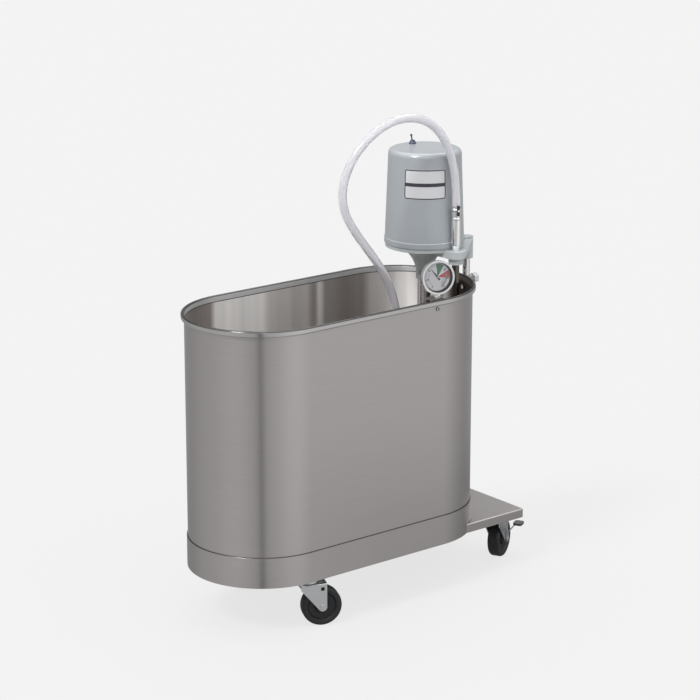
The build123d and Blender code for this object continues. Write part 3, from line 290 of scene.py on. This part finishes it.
def facing_in(k, x, y):
    """One on the faces that look towards the tub's middle line."""
    nx, ny = k.split("Normal")[:2]
    spine = k.range(x, TUB_X - END_CENTER, TUB_X + END_CENTER, -END_CENTER, END_CENTER)
    beyond = k.math("SUBTRACT", k.math("SUBTRACT", x, TUB_X), spine)
    return k.range(k.math("ADD", k.times(beyond, nx), k.times(y, ny)), *INWARD_FADE)


def inner_wall(k, x, runs):
    """Painted reflections along the tub's inside: broad bands of pale and warm tone, with fine streaks down
    it.
    """
    reflection_tone = k.ramp(k.range(x, TUB_X - REFLECTION_TONES_REACH, TUB_X + REFLECTION_TONES_REACH), INNER_REFLECTION_TONES)
    wall = k.tint(k.mix(reflection_tone, INNER_SHADE_WARM, INNER_LIT_PALE), reflection_tone)
    return k.tint(wall, k.mix(k.range(runs, 0.30, 0.66), grey(0.88), grey(1.0)))


def dark_end(k, x, y):
    """The share of the painted dark reflection on the tub's inner end."""
    along = k.range(x, TUB_X + END_CENTER, TUB_X + END_CENTER + PATCH_FADE)
    return k.times(k.times(k.range(y, *PATCH_TO), k.range(y, *PATCH_FROM)), along)


def seam_lines(k, z):
    """The share of the painted dark lines: a reflection on the rim's crest, a shadow under the rim, and shade
    in the joint at the skirt's upper edge.
    """
    share = 0.0
    for level, full, fade, strength in PAINTED_DARK_LINES:
        share = k.math("MAXIMUM", share, k.range(k.off(z, level), fade, full, 0.0, strength))
    return share


def tub_steel(name):
    """The tub's sheet: brushed outside, polished on the rim, and streaked down its inside. Painted light: the
    inside and the rim's inside paler, bands and a dark end as reflections, and dark lines of shade.
    """
    k = Mat(name).set(Metallic=1.0, Anisotropic=0.72)
    x, y, z = k.split("Object")
    streak = k.noise(1.0, k.mapping(GRAIN_LEVEL), detail=6.0, rough=0.7)
    runs = k.noise(1.0, k.mapping(GRAIN_DOWN), detail=5.0, rough=0.62)
    inside = facing_in(k, x, y)
    end = dark_end(k, x, y)
    rim = k.over(z, RIM_BOTTOM, RIM_FADE)
    # Inside colours are painted reflections, the inner end painted dark; over them lie painted dark lines of
    # shade
    sheet = k.mix(inside, streaked(k, streak, STEEL), k.mix(end, inner_wall(k, x, runs), END_DARK_REFLECTION))
    rolled = k.mix(inside, RIM_OUTSIDE, k.mix(end, RIM_INSIDE_LIT, RIM_END_DARK_REFLECTION))
    k.colour(k.mix(seam_lines(k, z), k.mix(rim, sheet, rolled), PAINTED_LINE_DARK))
    rough = k.mix(inside, k.mix(streak, grey(0.26), grey(0.36)), k.mix(runs, grey(0.72), grey(0.80)))
    k.roughness(k.mix(rim, rough, k.mix(inside, grey(0.24), grey(0.5))))
    k.tangent((0, 0, 1))
    k.bump(streak, strength=0.05, distance=0.0003)
    return k


def skirt_steel(name):
    """The brushed band round the tub's foot, darker along its upper edge: a dark joint with painted shade."""
    k = brushed(name, STEEL, rough=0.30)
    # The upper edge: a dark joint with painted shade
    edge = k.over(k.split("Object")[2], SKIRT_TOP, SKIRT_FADE)
    band = k.mix(k.noise(40.0), tinted(STEEL, 0.97), tinted(STEEL, 1.03))
    k.colour(k.mix(edge, band, SKIRT_EDGE_SHADE))
    return k


def polished(name, base, rough, smear=0.05):
    """Polished or plated metal with faint wipe marks."""
    k = Mat(name).set(Metallic=1.0)
    smudge = k.noise(14.0, detail=5.0)
    k.colour(k.mix(k.range(smudge, 0.3, 0.7), tinted(base, 0.94), base))
    k.roughness(k.range(smudge, 0.3, 0.8, rough, rough + smear))
    k.bump(k.noise(160.0), strength=0.02, distance=0.0002)
    return k


def riser_metal(name):
    """Chrome above the lug, and dark below it."""
    k = polished(name, RISER_CHROME, rough=0.03, smear=0.04)
    below = k.over(k.split("Object")[2], LUG_BOTTOM, LUG_FADE)
    k.colour(k.mix(below, RISER_CHROME, DARK_BELOW_LUG))
    return k


def lever_metal(name):
    """Zinc, with a dark coat on the pedal at the lever's top."""
    k = polished(name, LEVER_ZINC, rough=0.28, smear=0.15)
    on_pad = k.over(k.split("Object")[2], PEDAL_LEVEL, PEDAL_FADE)
    k.colour(k.mix(on_pad, LEVER_ZINC, PAD_DARK))
    k.metallic(k.range(on_pad, 0, 1, 1.0, 0.0))
    return k


def chrome_lined(name, shade_radius):
    """Chrome outside, and painted shade on the inside, nearer to the dial's axis than a radius."""
    k = polished(name, CHROME, rough=0.03, smear=0.04)
    offset = k.vector("SUBTRACT", k.coord.outputs["Object"], DIAL)
    along = k.vector("DOT_PRODUCT", offset, FACE_OUT)
    square = k.math("SUBTRACT", k.vector("DOT_PRODUCT", offset, offset), k.times(along, along))
    near_axis = k.math("LESS_THAN", k.math("SQRT", square), shade_radius)
    painted_shade = k.times(near_axis, k.math("GREATER_THAN", along, -SHADE_BACK))
    k.colour(k.mix(painted_shade, k.mix(k.noise(14.0), CHROME_WIPED, CHROME), LINING_PAINTED_SHADE))
    k.metallic(k.math("SUBTRACT", 1.0, painted_shade))
    return k


def enamel(name, base, rough, peel, grain=180.0, coat=0.7):
    """Sprayed enamel: a slow change of tone and a faint orange peel."""
    k = Mat(name).set(Metallic=0.0, Coat_Weight=coat, Coat_Roughness=0.06)
    k.colour(k.mix(k.range(k.noise(5.0, detail=3.0), 0.3, 0.7), tinted(base, 0.97), tinted(base, 1.03)))
    k.roughness(k.range(k.noise(60.0), 0.3, 0.7, rough - 0.005, rough + 0.01))
    k.bump(k.noise(grain, detail=2.0), strength=peel, distance=0.0002)
    return k


def moulded(name, base, rough, grain=900.0, depth=0.15, dust=0.3):
    """Moulded plastic or rubber with a fine grain and a little dust in its wear."""
    k = Mat(name).set(Metallic=0.0)
    wear = k.noise(22.0, detail=6.0)
    dusty = tuple(min(1.0, c * 1.8 + 0.02) for c in base)
    k.colour(k.mix(k.range(wear, 0.45, 0.85, 0.0, dust), base, dusty))
    k.roughness(k.range(wear, 0.3, 0.7, rough - 0.06, rough + 0.1))
    k.bump(k.noise(grain, detail=2.0), strength=depth, distance=0.0002)
    return k


def printed(name, base):
    """Printing ink, a little uneven."""
    k = Mat(name)
    k.colour(k.mix(k.noise(240.0), tinted(base, 0.88), tinted(base, 1.1)))
    k.roughness(k.range(k.noise(90.0), 0.3, 0.7, 0.40, 0.50))
    return k


def use(material, *names):
    for name in names:
        o = nodes[name]
        o.data.materials.clear()
        o.data.materials.append(material.m)


def ending(*ends):
    return [n for n in nodes if n.endswith(ends)]


chrome = polished("chrome_bright", CHROME, rough=0.03, smear=0.04)
use(chrome, "hose_ferrule", "mast_post", "thermometer_stem", "motor_shaft", "mast_stop")
use(polished("steel_fasteners", (0.5, 0.5, 0.49), rough=0.22), "bracket_bolts", "clip_screw")
use(tub_steel("stainless_tub"), "tub_shell")
use(skirt_steel("stainless_skirt"), "skirt_band")
use(brushed("stainless_platform", STEEL, rough=0.30, grain=GRAIN_CROSSWAYS, across=(1, 0, 0)), "platform_pan")
use(brushed("stainless_sheet_dull", (0.42, 0.41, 0.40), rough=0.38, aniso=0.4),
    "chassis_frame", "mast_bracket", "thermometer_clip")
use(polished("column_chrome", (0.92, 0.92, 0.93), rough=0.24), "column_tube")
use(riser_metal("riser_chrome"), "riser_tube", "discharge_pipe")
use(enamel("enamel_light_grey", (0.315, 0.338, 0.36), rough=0.28, peel=0.002), "motor_can")
use(enamel("enamel_casting_grey", (0.41, 0.442, 0.45), rough=0.36, peel=0.03, grain=90.0, coat=0.25),
    "turbine_casting", "pump_housing")
use(polished("zinc_plated", (0.62, 0.635, 0.65), rough=0.28, smear=0.15),
    "caster_bolts", "motor_bearings", *ending("_plate", "_fork", "_caster_axle"))
use(moulded("wheel_rubber", (0.007, 0.007, 0.009), rough=0.5, dust=0.08), *ending("_caster_wheel"))
use(moulded("motor_varnish", (0.05, 0.045, 0.04), rough=0.5), "stator_core", "rotor_core")
use(polished("motor_cast_aluminium", (0.5, 0.5, 0.5), rough=0.45, smear=0.1), "motor_frame", "end_bell")
use(polished("bronze_machined", (0.55, 0.38, 0.19), rough=0.3), "column_bush", "impeller", "jet_nozzle")
use(moulded("knob_grey", (0.58, 0.59, 0.62), rough=0.3, dust=0.05), "clamp_knob")
use(moulded("toggle_slate", (0.055, 0.065, 0.10), rough=0.3, dust=0.1), "switch_boot", "switch_lever")
use(moulded("plastic_dark", (0.03, 0.035, 0.045), rough=0.4), "switch_body", "cord_gland")
use(moulded("plastic_fan", (0.06, 0.06, 0.065), rough=0.5), "cooling_fan", "inlet_strainer")
use(moulded("dial_white", (0.74, 0.745, 0.76), rough=0.4, grain=400, depth=0.02, dust=0.05),
    "thermometer_dial")
use(moulded("pointer_black", (0.02, 0.02, 0.03), rough=0.3), "thermometer_pointer")
use(lever_metal("brake_lever_zinc"), "rear_near_brake_lever", "rear_far_brake_lever")
use(chrome_lined("bezel_chrome", BEZEL_SHADE_R), "thermometer_bezel")
use(chrome_lined("case_chrome", CASE_SHADE_R), "thermometer_case")

glass = Mat("dial_glass").set(Roughness=0.03, Transmission_Weight=1.0, IOR=1.45)
glass.colour((0.975, 0.97, 0.98))
glass.bump(glass.noise(30.0), strength=0.01, distance=0.0001)
use(glass, "thermometer_lens")


# Meshes
def mesh_object(name, vertices, faces, material, body, smooth=True):
    """A piece of the look that moves along with a body."""
    mesh = bpy.data.meshes.new(name)
    mesh.from_pydata(vertices, [], faces)
    shape = bmesh.new()
    shape.from_mesh(mesh)
    bmesh.ops.remove_doubles(shape, verts=shape.verts, dist=1e-7)
    bmesh.ops.recalc_face_normals(shape, faces=shape.faces)
    shape.to_mesh(mesh)
    shape.free()
    for polygon in mesh.polygons:
        polygon.use_smooth = smooth
    mesh.materials.append(material.m)
    o = bpy.data.objects.new(name, mesh)
    scene.collection.objects.link(o)
    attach(o, body)
    return o


def mesh_of(curve):
    """The points and faces that a curve or a text makes."""
    o = bpy.data.objects.new(curve.name, curve)
    scene.collection.objects.link(o)
    bpy.context.view_layer.update()
    mesh = bpy.data.meshes.new_from_object(o.evaluated_get(bpy.context.evaluated_depsgraph_get()))
    points = [v.co.copy() for v in mesh.vertices]
    faces = [tuple(f.vertices) for f in mesh.polygons]
    bpy.data.objects.remove(o)
    bpy.data.meshes.remove(mesh)
    return points, faces


def joined(parts):
    """Several sets of vertices and faces as one."""
    vertices, faces = [], []
    for more, their_faces in parts:
        faces += [tuple(i + len(vertices) for i in f) for f in their_faces]
        vertices += more
    return vertices, faces


def ribbon(edges, at, low, high, closed=False):
    """A thin solid between two edges of as many points, laid on a surface by the function at."""
    vertices = [at(u, v, h) for h in (low, high) for edge in edges for u, v in edge]
    n = len(edges[0])
    ring = (0, n, 3 * n, 2 * n)
    faces = []
    for i in range(n if closed else n - 1):
        j = (i + 1) % n
        for a, b in zip(ring, ring[1:] + ring[:1]):
            faces.append((a + i, a + j, b + j, b + i))
    if not closed:
        faces += [ring, tuple(r + n - 1 for r in ring)]
    return vertices, faces


def bar(angle, start, end, width):
    """The two edges of a straight bar through the middle, at an angle in degrees."""
    a = math.radians(angle)
    along, off = Vector((math.cos(a), math.sin(a))), Vector((-math.sin(a), math.cos(a))) * width / 2
    return [[tuple(along * r + off * side) for r in (start, end)] for side in (-1, 1)]


def turned(profile, axis_point, axis, around):
    """A closed profile of (radius, height) turned round an axis."""
    side = axis.orthogonal().normalized()
    other = axis.cross(side)
    vertices = []
    for k in range(around):
        a = 2 * math.pi * k / around
        spoke = side * math.cos(a) + other * math.sin(a)
        vertices += [axis_point + spoke * r + axis * h for r, h in profile]
    n = len(profile)
    faces = []
    for k in range(around):
        base, after = k * n, (k + 1) % around * n
        for i in range(n):
            j = (i + 1) % n
            faces.append((base + i, base + j, after + j, after + i))
    return vertices, faces


def block(center, right, up, out, size, bevel):
    """A box with rounded edges, along three given directions."""
    shape = bmesh.new()
    bmesh.ops.create_cube(shape, size=1.0)
    for v in shape.verts:
        v.co = Vector(c * s for c, s in zip(v.co, size))
    bmesh.ops.bevel(shape, geom=shape.edges[:], offset=bevel, segments=3, affect="EDGES", profile=0.5)
    shape.verts.index_update()
    vertices = [center + right * v.co.x + up * v.co.y + out * v.co.z for v in shape.verts]
    faces = [tuple(v.index for v in f.verts) for f in shape.faces]
    shape.free()
    return vertices, faces


def smooth_line(name, points):
    """Points along a smooth line that is drawn by a few."""
    curve = bpy.data.curves.new(name, "CURVE")
    curve.dimensions = "3D"
    spline = curve.splines.new("NURBS")
    spline.points.add(len(points) - 1)
    for p, co in zip(spline.points, points):
        p.co = (*co, 1)
    spline.order_u = 3
    spline.use_endpoint_u = True
    spline.resolution_u = 10
    return mesh_of(curve)[0]


def frames_along(points):
    """A point, side and up for each place on a path, without twist."""
    tangents = []
    for i in range(len(points)):
        a, b = points[max(i - 1, 0)], points[min(i + 1, len(points) - 1)]
        tangents.append((b - a).normalized())
    side = tangents[0].orthogonal().normalized()
    out = []
    for p, t in zip(points, tangents):
        side = (side - t * side.dot(t)).normalized()
        out.append((p, side, t.cross(side)))
    return out


def tube(points, outer, inner, around=28):
    """A tube with a wall, open at both ends."""
    places = frames_along(points)
    vertices = []
    for p, s, u in places:
        for radius in (outer, inner):
            for k in range(around):
                a = 2 * math.pi * k / around
                vertices.append(p + (s * math.cos(a) + u * math.sin(a)) * radius)
    n, step = len(places), 2 * around
    faces = []
    for k in range(around):
        j = (k + 1) % around
        for i in range(n - 1):
            for shell in (0, around):
                a, b = i * step + shell, (i + 1) * step + shell
                faces.append((a + k, a + j, b + j, b + k))
        for i in (0, n - 1):
            a = i * step
            faces.append((a + k, a + j, a + around + j, a + around + k))
    return vertices, faces


# Hose, on the same route as the solid, in the drawing's millimetres
HOSE_ROUTE = [
    (309, -115, 982), (309, -115, 1024), (303, -112, 1084), (287, -108, 1139), (259, -105, 1182),
    (222, -101, 1211), (178, -96, 1224), (132, -92, 1223), (87, -87, 1208), (44, -82, 1180),
    (7, -77, 1141), (-16, -73, 1094), (-21, -69, 1046), (-8, -66, 1000), (22, -63, 955),
    (61, -60, 909), (98, -57, 865), (130, -54, 822), (155, -50, 775), (173, -46, 722),
    (186, -42, 664), (194, -39, 602), (197, -36, 540), (196, -33, 478), (191, -30, 416),
    (184, -28, 355), (178, -27, 294), (174, -26, 236),
]
HOSE_RADIUS, HOSE_BORE = 0.0105, 0.0078
hose_points = [Vector((x / 1000 + TUB_X, y / 1000, z / 1000)) for x, y, z in HOSE_ROUTE]
hose_path = smooth_line("hose_line", hose_points)

vinyl = Mat("clear_vinyl").set(Roughness=0.1, IOR=1.38, Transmission_Weight=0.7)
vinyl.colour(vinyl.mix(vinyl.noise(18.0), (0.89, 0.88, 0.92), (0.94, 0.935, 0.96)))
vinyl.bump(vinyl.noise(25.0, detail=2.0), strength=0.01, distance=0.0004)
hose = mesh_object("hose_tube", *tube(hose_path, HOSE_RADIUS, HOSE_BORE), vinyl, "turbine")
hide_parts("hose")

# Hose clamp: a worm-drive band round the ferrule, its screw housing turned to the front and coloured near
# black as a painted dark reflection
CLAMP_LEVEL, CLAMP_FACING = 0.9775, math.radians(-112)
CLAMP_INNER, CLAMP_OUTER, CLAMP_HALF_WIDTH = 0.0131, 0.0139, 0.00425
HOUSING_SIZE, HOUSING_BEVEL, HOUSING_LIFT = (0.0066, 0.0270, 0.0052), 0.0014, 0.0028
WORM_PROFILE = [(0.0, 0.0), (0.0030, 0.0), (0.0030, 0.0034), (0.0022, 0.0044), (0.0, 0.0046)]
WORM_LIFT = 0.0018
band_profile = [(CLAMP_INNER, -CLAMP_HALF_WIDTH), (CLAMP_OUTER, -CLAMP_HALF_WIDTH),
                (CLAMP_OUTER, CLAMP_HALF_WIDTH), (CLAMP_INNER, CLAMP_HALF_WIDTH)]
clamp_at = Vector((RISER_X, RISER_Y, CLAMP_LEVEL))
clamp_out = Vector((math.cos(CLAMP_FACING), math.sin(CLAMP_FACING), 0))
clamp_side = UP.cross(clamp_out)
housing_at = clamp_at + clamp_out * (CLAMP_OUTER + HOUSING_LIFT)
clamp_dark_reflection = moulded("clamp_painted_reflection", (0.012, 0.012, 0.014), rough=0.4)
clamp_band = turned(band_profile, clamp_at, UP, around=48)
clamp_housing = block(housing_at, clamp_side, UP, clamp_out, HOUSING_SIZE, HOUSING_BEVEL)
clamp_worm = turned(WORM_PROFILE, housing_at + clamp_out * WORM_LIFT, clamp_out, around=16)
for name, shape, finish in (
    ("hose_clamp", clamp_band, chrome),
    ("hose_clamp_housing", clamp_housing, clamp_dark_reflection),
    ("hose_clamp_screw", clamp_worm, chrome),
):
    mesh_object(name, *shape, finish, "turbine")

# Blank plate on the can: its sheet, a line round it and a band across it
PLATE_FACING = math.radians(-130)
PLATE_WIDTH, PLATE_BOTTOM, PLATE_TOP, PLATE_CORNER = 0.106, 1.0045, 1.0800, 0.007
LINE_OUTER, LINE_INNER = 0.0005, 0.0033
BAND_LEVEL, BAND_HEIGHT, BAND_INSET = 1.0414, 0.0090, 0.0032
INK, SHEET = 0.0001, 0.0005


def on_can(s, z, lift):
    """A point on the can's tapered wall: s along its curve from the plate's middle."""
    share = (z - FLANGE_TOP) / (CAN_HEIGHT - CAN_SHOULDER)
    radius = CAN_BASE_R + (CAN_TOP_R - CAN_BASE_R) * share
    a = PLATE_FACING + s / CAN_TOP_R
    return Vector((MOTOR_X + (radius + lift) * math.cos(a), (radius + lift) * math.sin(a), z))


def rounded(inset, steps=8, spread=12):
    """A rounded rectangle set in from the plate's edge, with points along its long sides."""
    w, low, high = PLATE_WIDTH / 2 - inset, PLATE_BOTTOM + inset, PLATE_TOP - inset
    r = PLATE_CORNER - inset
    corners = [(w - r, high - r, 0), (-w + r, high - r, 90), (-w + r, low + r, 180), (w - r, low + r, 270)]
    out = []
    for cx, cz, start in corners:
        for i in range(steps + 1):
            a = math.radians(start + 90 * i / steps)
            out.append((cx + r * math.cos(a), cz + r * math.sin(a)))
        if start in (0, 180):
            level = high if start == 0 else low
            out += [(cx - 2 * cx * i / spread, level) for i in range(1, spread)]
    return out


def plate_field(count=48):
    """The plate's lower and upper edge, as matching points."""
    w, r = PLATE_WIDTH / 2, PLATE_CORNER
    low, high = [], []
    for i in range(count + 1):
        s = -w * math.cos(math.pi * i / count)
        into = max(0.0, abs(s) - (w - r))
        cut = r - math.sqrt(max(0.0, r * r - into * into))
        low.append((s, PLATE_BOTTOM + cut))
        high.append((s, PLATE_TOP - cut))
    return low, high


def plate_band(count=40):
    """The lower and upper edge of the band across the plate."""
    half = PLATE_WIDTH / 2 - BAND_INSET
    across = [-half + 2 * half * i / count for i in range(count + 1)]
    return [[(s, BAND_LEVEL + side * BAND_HEIGHT / 2) for s in across] for side in (-1, 1)]


plate_metal = enamel("nameplate_silver", (0.56, 0.565, 0.58), rough=0.4, peel=0.002, grain=300.0, coat=0.2)
# Ink for the plate's print, used also for the painted shade in the screw's cross recess
ink_and_recess_shade = printed("nameplate_ink_and_recess_shade", (0.035, 0.035, 0.045))
plate_sheet = ribbon(plate_field(), on_can, 0.0, SHEET)
plate = mesh_object("nameplate", *plate_sheet, plate_metal, "turbine", smooth=False)
lines = joined([
    ribbon((rounded(LINE_OUTER), rounded(LINE_INNER)), on_can, SHEET, SHEET + INK, closed=True),
    ribbon(plate_band(), on_can, SHEET, SHEET + INK),
])
mesh_object("nameplate_lines", *lines, ink_and_recess_shade, "turbine", smooth=False)

# Printing on the dial, by radius and by angle in degrees from the right
SCALE_R, SCALE_START, SCALE_SWEEP, SCALE_TOP = 0.0335, 240, 300, 120
SCALE_TICKS, SCALE_NUMBERS = 60, 6
# Ticks: (every so many, length, width), the longest first
TICKS = [(10, 0.0028, 0.0009), (5, 0.0018, 0.0009), (1, 0.001, 0.0004)]
NUMBER_R, NUMBER_SIZE, NUMBER_WEIGHT = 0.0268, 0.0066, 0.0001
# Areas and lines: (inner radius, outer radius, start, end, steps)
GREEN_AREA, RED_AREA = (0.003, SCALE_R, 58, 93, 16), (0.005, SCALE_R + 0.001, -6, 29, 16)
PALE_AREAS = [(0.0226, 0.0262, -62, 12, 24), (0.0170, 0.0190, -62, -8, 20), (0.0226, 0.0236, 150, 236, 24)]
SCALE_LINES = [(SCALE_R, SCALE_R + 0.0004, -60, 240, 90), (0.0215, 0.0222, -60, -8, 24)]
# The painted shadow ring round the face, wider on one side
SHADOW_R, SHADOW_WIDTH, SHADOW_SHIFT, SHADOW_AWAY = 0.0357, 0.0034, 0.0010, math.radians(118)
HUB_PROFILE = [(0.0, 0.0), (0.0022, 0.0), (0.0022, 0.0006), (0.0012, 0.0011), (0.0, 0.0012)]
HUB_LIFT = 0.0024


def on_dial(u, v, lift):
    return DIAL + FACE_RIGHT * u + FACE_UP * v + FACE_OUT * (lift - DIAL_DEPTH)


def arc(radius, start, end, steps):
    angles = [math.radians(start + (end - start) * i / steps) for i in range(steps + 1)]
    return [(radius * math.cos(a), radius * math.sin(a)) for a in angles]


def sector(inner, outer, start, end, steps, layer=0):
    """Ink between two radii and two angles, on the first or the second layer."""
    edges = (arc(inner, start, end, steps), arc(outer, start, end, steps))
    return ribbon(edges, on_dial, layer * INK, (layer + 1) * INK)


def well_ring():
    """A closed ring of painted shadow whose inner edge is shifted to one side."""
    shift_u, shift_v = SHADOW_SHIFT * math.cos(SHADOW_AWAY), SHADOW_SHIFT * math.sin(SHADOW_AWAY)
    inner = [(u + shift_u, v + shift_v) for u, v in arc(SHADOW_R - SHADOW_SHIFT, 0, 357, 119)]
    return ribbon((inner, arc(SHADOW_R + SHADOW_WIDTH, 0, 357, 119)), on_dial, 0.0, INK, closed=True)


def number(value, angle):
    """A number upright on the dial, its middle at an angle."""
    words = bpy.data.curves.new("dial_number", "FONT")
    words.body = str(value)
    words.size = NUMBER_SIZE
    words.extrude = INK / 2
    words.offset = NUMBER_WEIGHT
    words.align_x, words.align_y = "CENTER", "CENTER"
    points, faces = mesh_of(words)
    a = math.radians(angle)
    u, v = NUMBER_R * math.cos(a), NUMBER_R * math.sin(a)
    return [on_dial(u + p.x, v + p.y, 1.5 * INK + p.z) for p in points], faces


green = printed("dial_green", (0.045, 0.20, 0.10))
red = printed("dial_red", (0.56, 0.10, 0.095))
slate = printed("dial_grey", (0.07, 0.08, 0.10))
pale = printed("dial_pale_grey", (0.36, 0.38, 0.43))
# Near black for the painted shadow ring
shadow_black = printed("dial_shadow_black", (0.012, 0.012, 0.014))
mesh_object("dial_shadow_ring", *well_ring(), shadow_black, "tub", smooth=False)
rings = joined([sector(*area) for area in PALE_AREAS])
mesh_object("dial_rings", *rings, pale, "tub", smooth=False)
green_area, red_area = sector(*GREEN_AREA), sector(*RED_AREA)
mesh_object("dial_green_sector", *green_area, green, "tub", smooth=False)
mesh_object("dial_red_sector", *red_area, red, "tub", smooth=False)
marks = [sector(*line, layer=1) for line in SCALE_LINES]
for i in range(SCALE_TICKS + 1):
    length, width = next(sizes for every, *sizes in TICKS if i % every == 0)
    edges = bar(SCALE_START - SCALE_SWEEP * i / SCALE_TICKS, SCALE_R - length, SCALE_R, width)
    marks.append(ribbon(edges, on_dial, INK, 2 * INK))
for i in range(SCALE_NUMBERS + 1):
    marks.append(number(i * SCALE_TOP // SCALE_NUMBERS, SCALE_START - SCALE_SWEEP * i / SCALE_NUMBERS))
mesh_object("dial_marks", *joined(marks), slate, "tub", smooth=False)
hub = turned(HUB_PROFILE, on_dial(0, 0, HUB_LIFT), FACE_OUT, around=20)
mesh_object("dial_hub", *hub, printed("dial_hub_white", (0.7, 0.7, 0.7)), "dial_hand")

# Painted shade of the cross recess in the screw below the dial: a dark cross on its face
RECESS_ARM, RECESS_WIDTH, RECESS_DEPTH, RECESS_TURNS = 0.0038, 0.0018, 0.0002, (20, 110)
screw_face = min(v.co.y for v in nodes["clip_screw"].data.vertices)


def on_screw(u, v, lift):
    return Vector((SCREW_X + u, screw_face - lift, SCREW_Z + v))


cross = []
for turn in RECESS_TURNS:
    cross.append(ribbon(bar(turn, -RECESS_ARM, RECESS_ARM, RECESS_WIDTH), on_screw, -RECESS_DEPTH, INK))
mesh_object("screw_recess_shade", *joined(cross), ink_and_recess_shade, "tub", smooth=False)

# Floor: pale to the camera with a faint shadow, a mid grey for the light that it throws back
FLOOR_REACH = 30
PALE, FLOOR_BOUNCE, FLOOR_SHADOWED, FLOOR_SHADE = 0.896, 0.45, 0.47, 0.16
# Reflections look through the floor, and dim near the tub: over a distance, along X, and to a level
DIM_NEAR, DIM_ALONG, DIM_LEVEL = (1.45, 0.7), (-0.9, 0.3), 0.62
corners = [(x * FLOOR_REACH, y * FLOOR_REACH, 0) for x, y in ((-1, -1), (1, -1), (1, 1), (-1, 1))]
floor_mesh = bpy.data.meshes.new("floor")
floor_mesh.from_pydata(corners, [], [(0, 1, 2, 3)])
floor = bpy.data.objects.new("floor", floor_mesh)
scene.collection.objects.link(floor)
ground = Mat("floor_pale").set(Roughness=0.9, Specular_IOR_Level=0.0)
ground.colour(grey(FLOOR_BOUNCE))
glow = ground.shader("ShaderNodeEmission", grey(PALE))
shadow = ground.shader("ShaderNodeBsdfDiffuse", grey(FLOOR_SHADOWED))
spot_x, spot_y = ground.split("Object")[:2]
past = ground.math("MAXIMUM", ground.math("SUBTRACT", ground.math("ABSOLUTE", spot_x), END_CENTER), 0.0)
away = ground.math("SQRT", ground.math("ADD", ground.times(past, past), ground.times(spot_y, spot_y)))
dim = ground.times(ground.range(away, *DIM_NEAR), ground.range(spot_x, *DIM_ALONG))
through = ground.shader("ShaderNodeBsdfTransparent", ground.mix(dim, grey(1.0), grey(DIM_LEVEL)))
lit = ground.blend(ground.seen(), ground.bsdf.outputs[0], ground.blend(FLOOR_SHADE, glow, shadow))
surface = ground.blend(ground.ray("Glossy"), lit, through)
ground.feed(ground.t.nodes["Material Output"].inputs["Surface"], surface)
floor.data.materials.append(ground.m)

# The studio seen from the middle: (compass angle from +X, brightness), one dark strip, a bright ceiling
STUDIO = [
    (-180, 0.62), (-155, 0.56), (-132.5, 0.50), (-131, 0.04), (-126.5, 0.04), (-125, 0.52), (-104, 0.66),
    (-88, 0.80), (-71, 0.87), (-50, 0.79), (-30, 0.61), (-5, 0.45), (30, 0.42), (90, 0.40), (110, 0.47),
    (130, 0.56), (150, 0.58), (172, 0.61), (180, 0.62),
]
CEILING, CEILING_FROM, CEILING_FULL = 1.9, 0.45, 0.85
world = bpy.data.worlds.new("studio")
scene.world = world
world.use_nodes = True
sky = Tree(world.node_tree)
sky_x, sky_y, sky_z = sky.split("Generated")
compass = sky.range(sky.math("ARCTAN2", sky_y, sky_x), -math.pi, math.pi)
walls = sky.ramp(compass, [((angle + 180) / 360, level) for angle, level in STUDIO])
height = sky.range(sky_z, CEILING_FROM, CEILING_FULL, curve="SMOOTHSTEP")
room = sky.mix(height, walls, grey(CEILING))
sky.feed(world.node_tree.nodes["Background"].inputs["Color"], sky.mix(sky.seen(), room, grey(PALE)))

# Suns: (name, compass angle and height in degrees, strength, width in degrees)
for name, azimuth, elevation, energy, angle in (
    ("key_sun", -75, 40, 0.05, 14),
    ("front_sun", -124, 28, 0.15, 12),
    ("fill_sun", -172, 52, 1.9, 14),
    ("back_sun", 40, 38, 0.2, 20),
    ("top_sun", 0, 80, 0.1, 60),
):
    lamp = bpy.data.lights.new(name, "SUN")
    lamp.energy = energy
    lamp.angle = math.radians(angle)
    sun = bpy.data.objects.new(name, lamp)
    a, e = math.radians(azimuth), math.radians(elevation)
    direction = Vector((math.cos(a) * math.cos(e), math.sin(a) * math.cos(e), math.sin(e)))
    sun.rotation_euler = direction.to_track_quat("Z", "Y").to_euler()
    scene.collection.objects.link(sun)

# Camera, pitched down at the tub
CAMERA_PLACE, CAMERA_PITCH, CAMERA_TURN = (TUB_X - 3.740, -4.718, 2.353), 0.277, -0.678
camera_data = bpy.data.cameras.new("camera")
camera_data.lens = 128.57
camera_data.sensor_width = 36.0
camera_data.clip_end = 100.0
camera = bpy.data.objects.new("camera", camera_data)
camera.location = CAMERA_PLACE
camera.rotation_euler = (math.pi / 2 - CAMERA_PITCH, 0, CAMERA_TURN)
scene.collection.objects.link(camera)
scene.camera = camera

scene.view_settings.view_transform = "Standard"
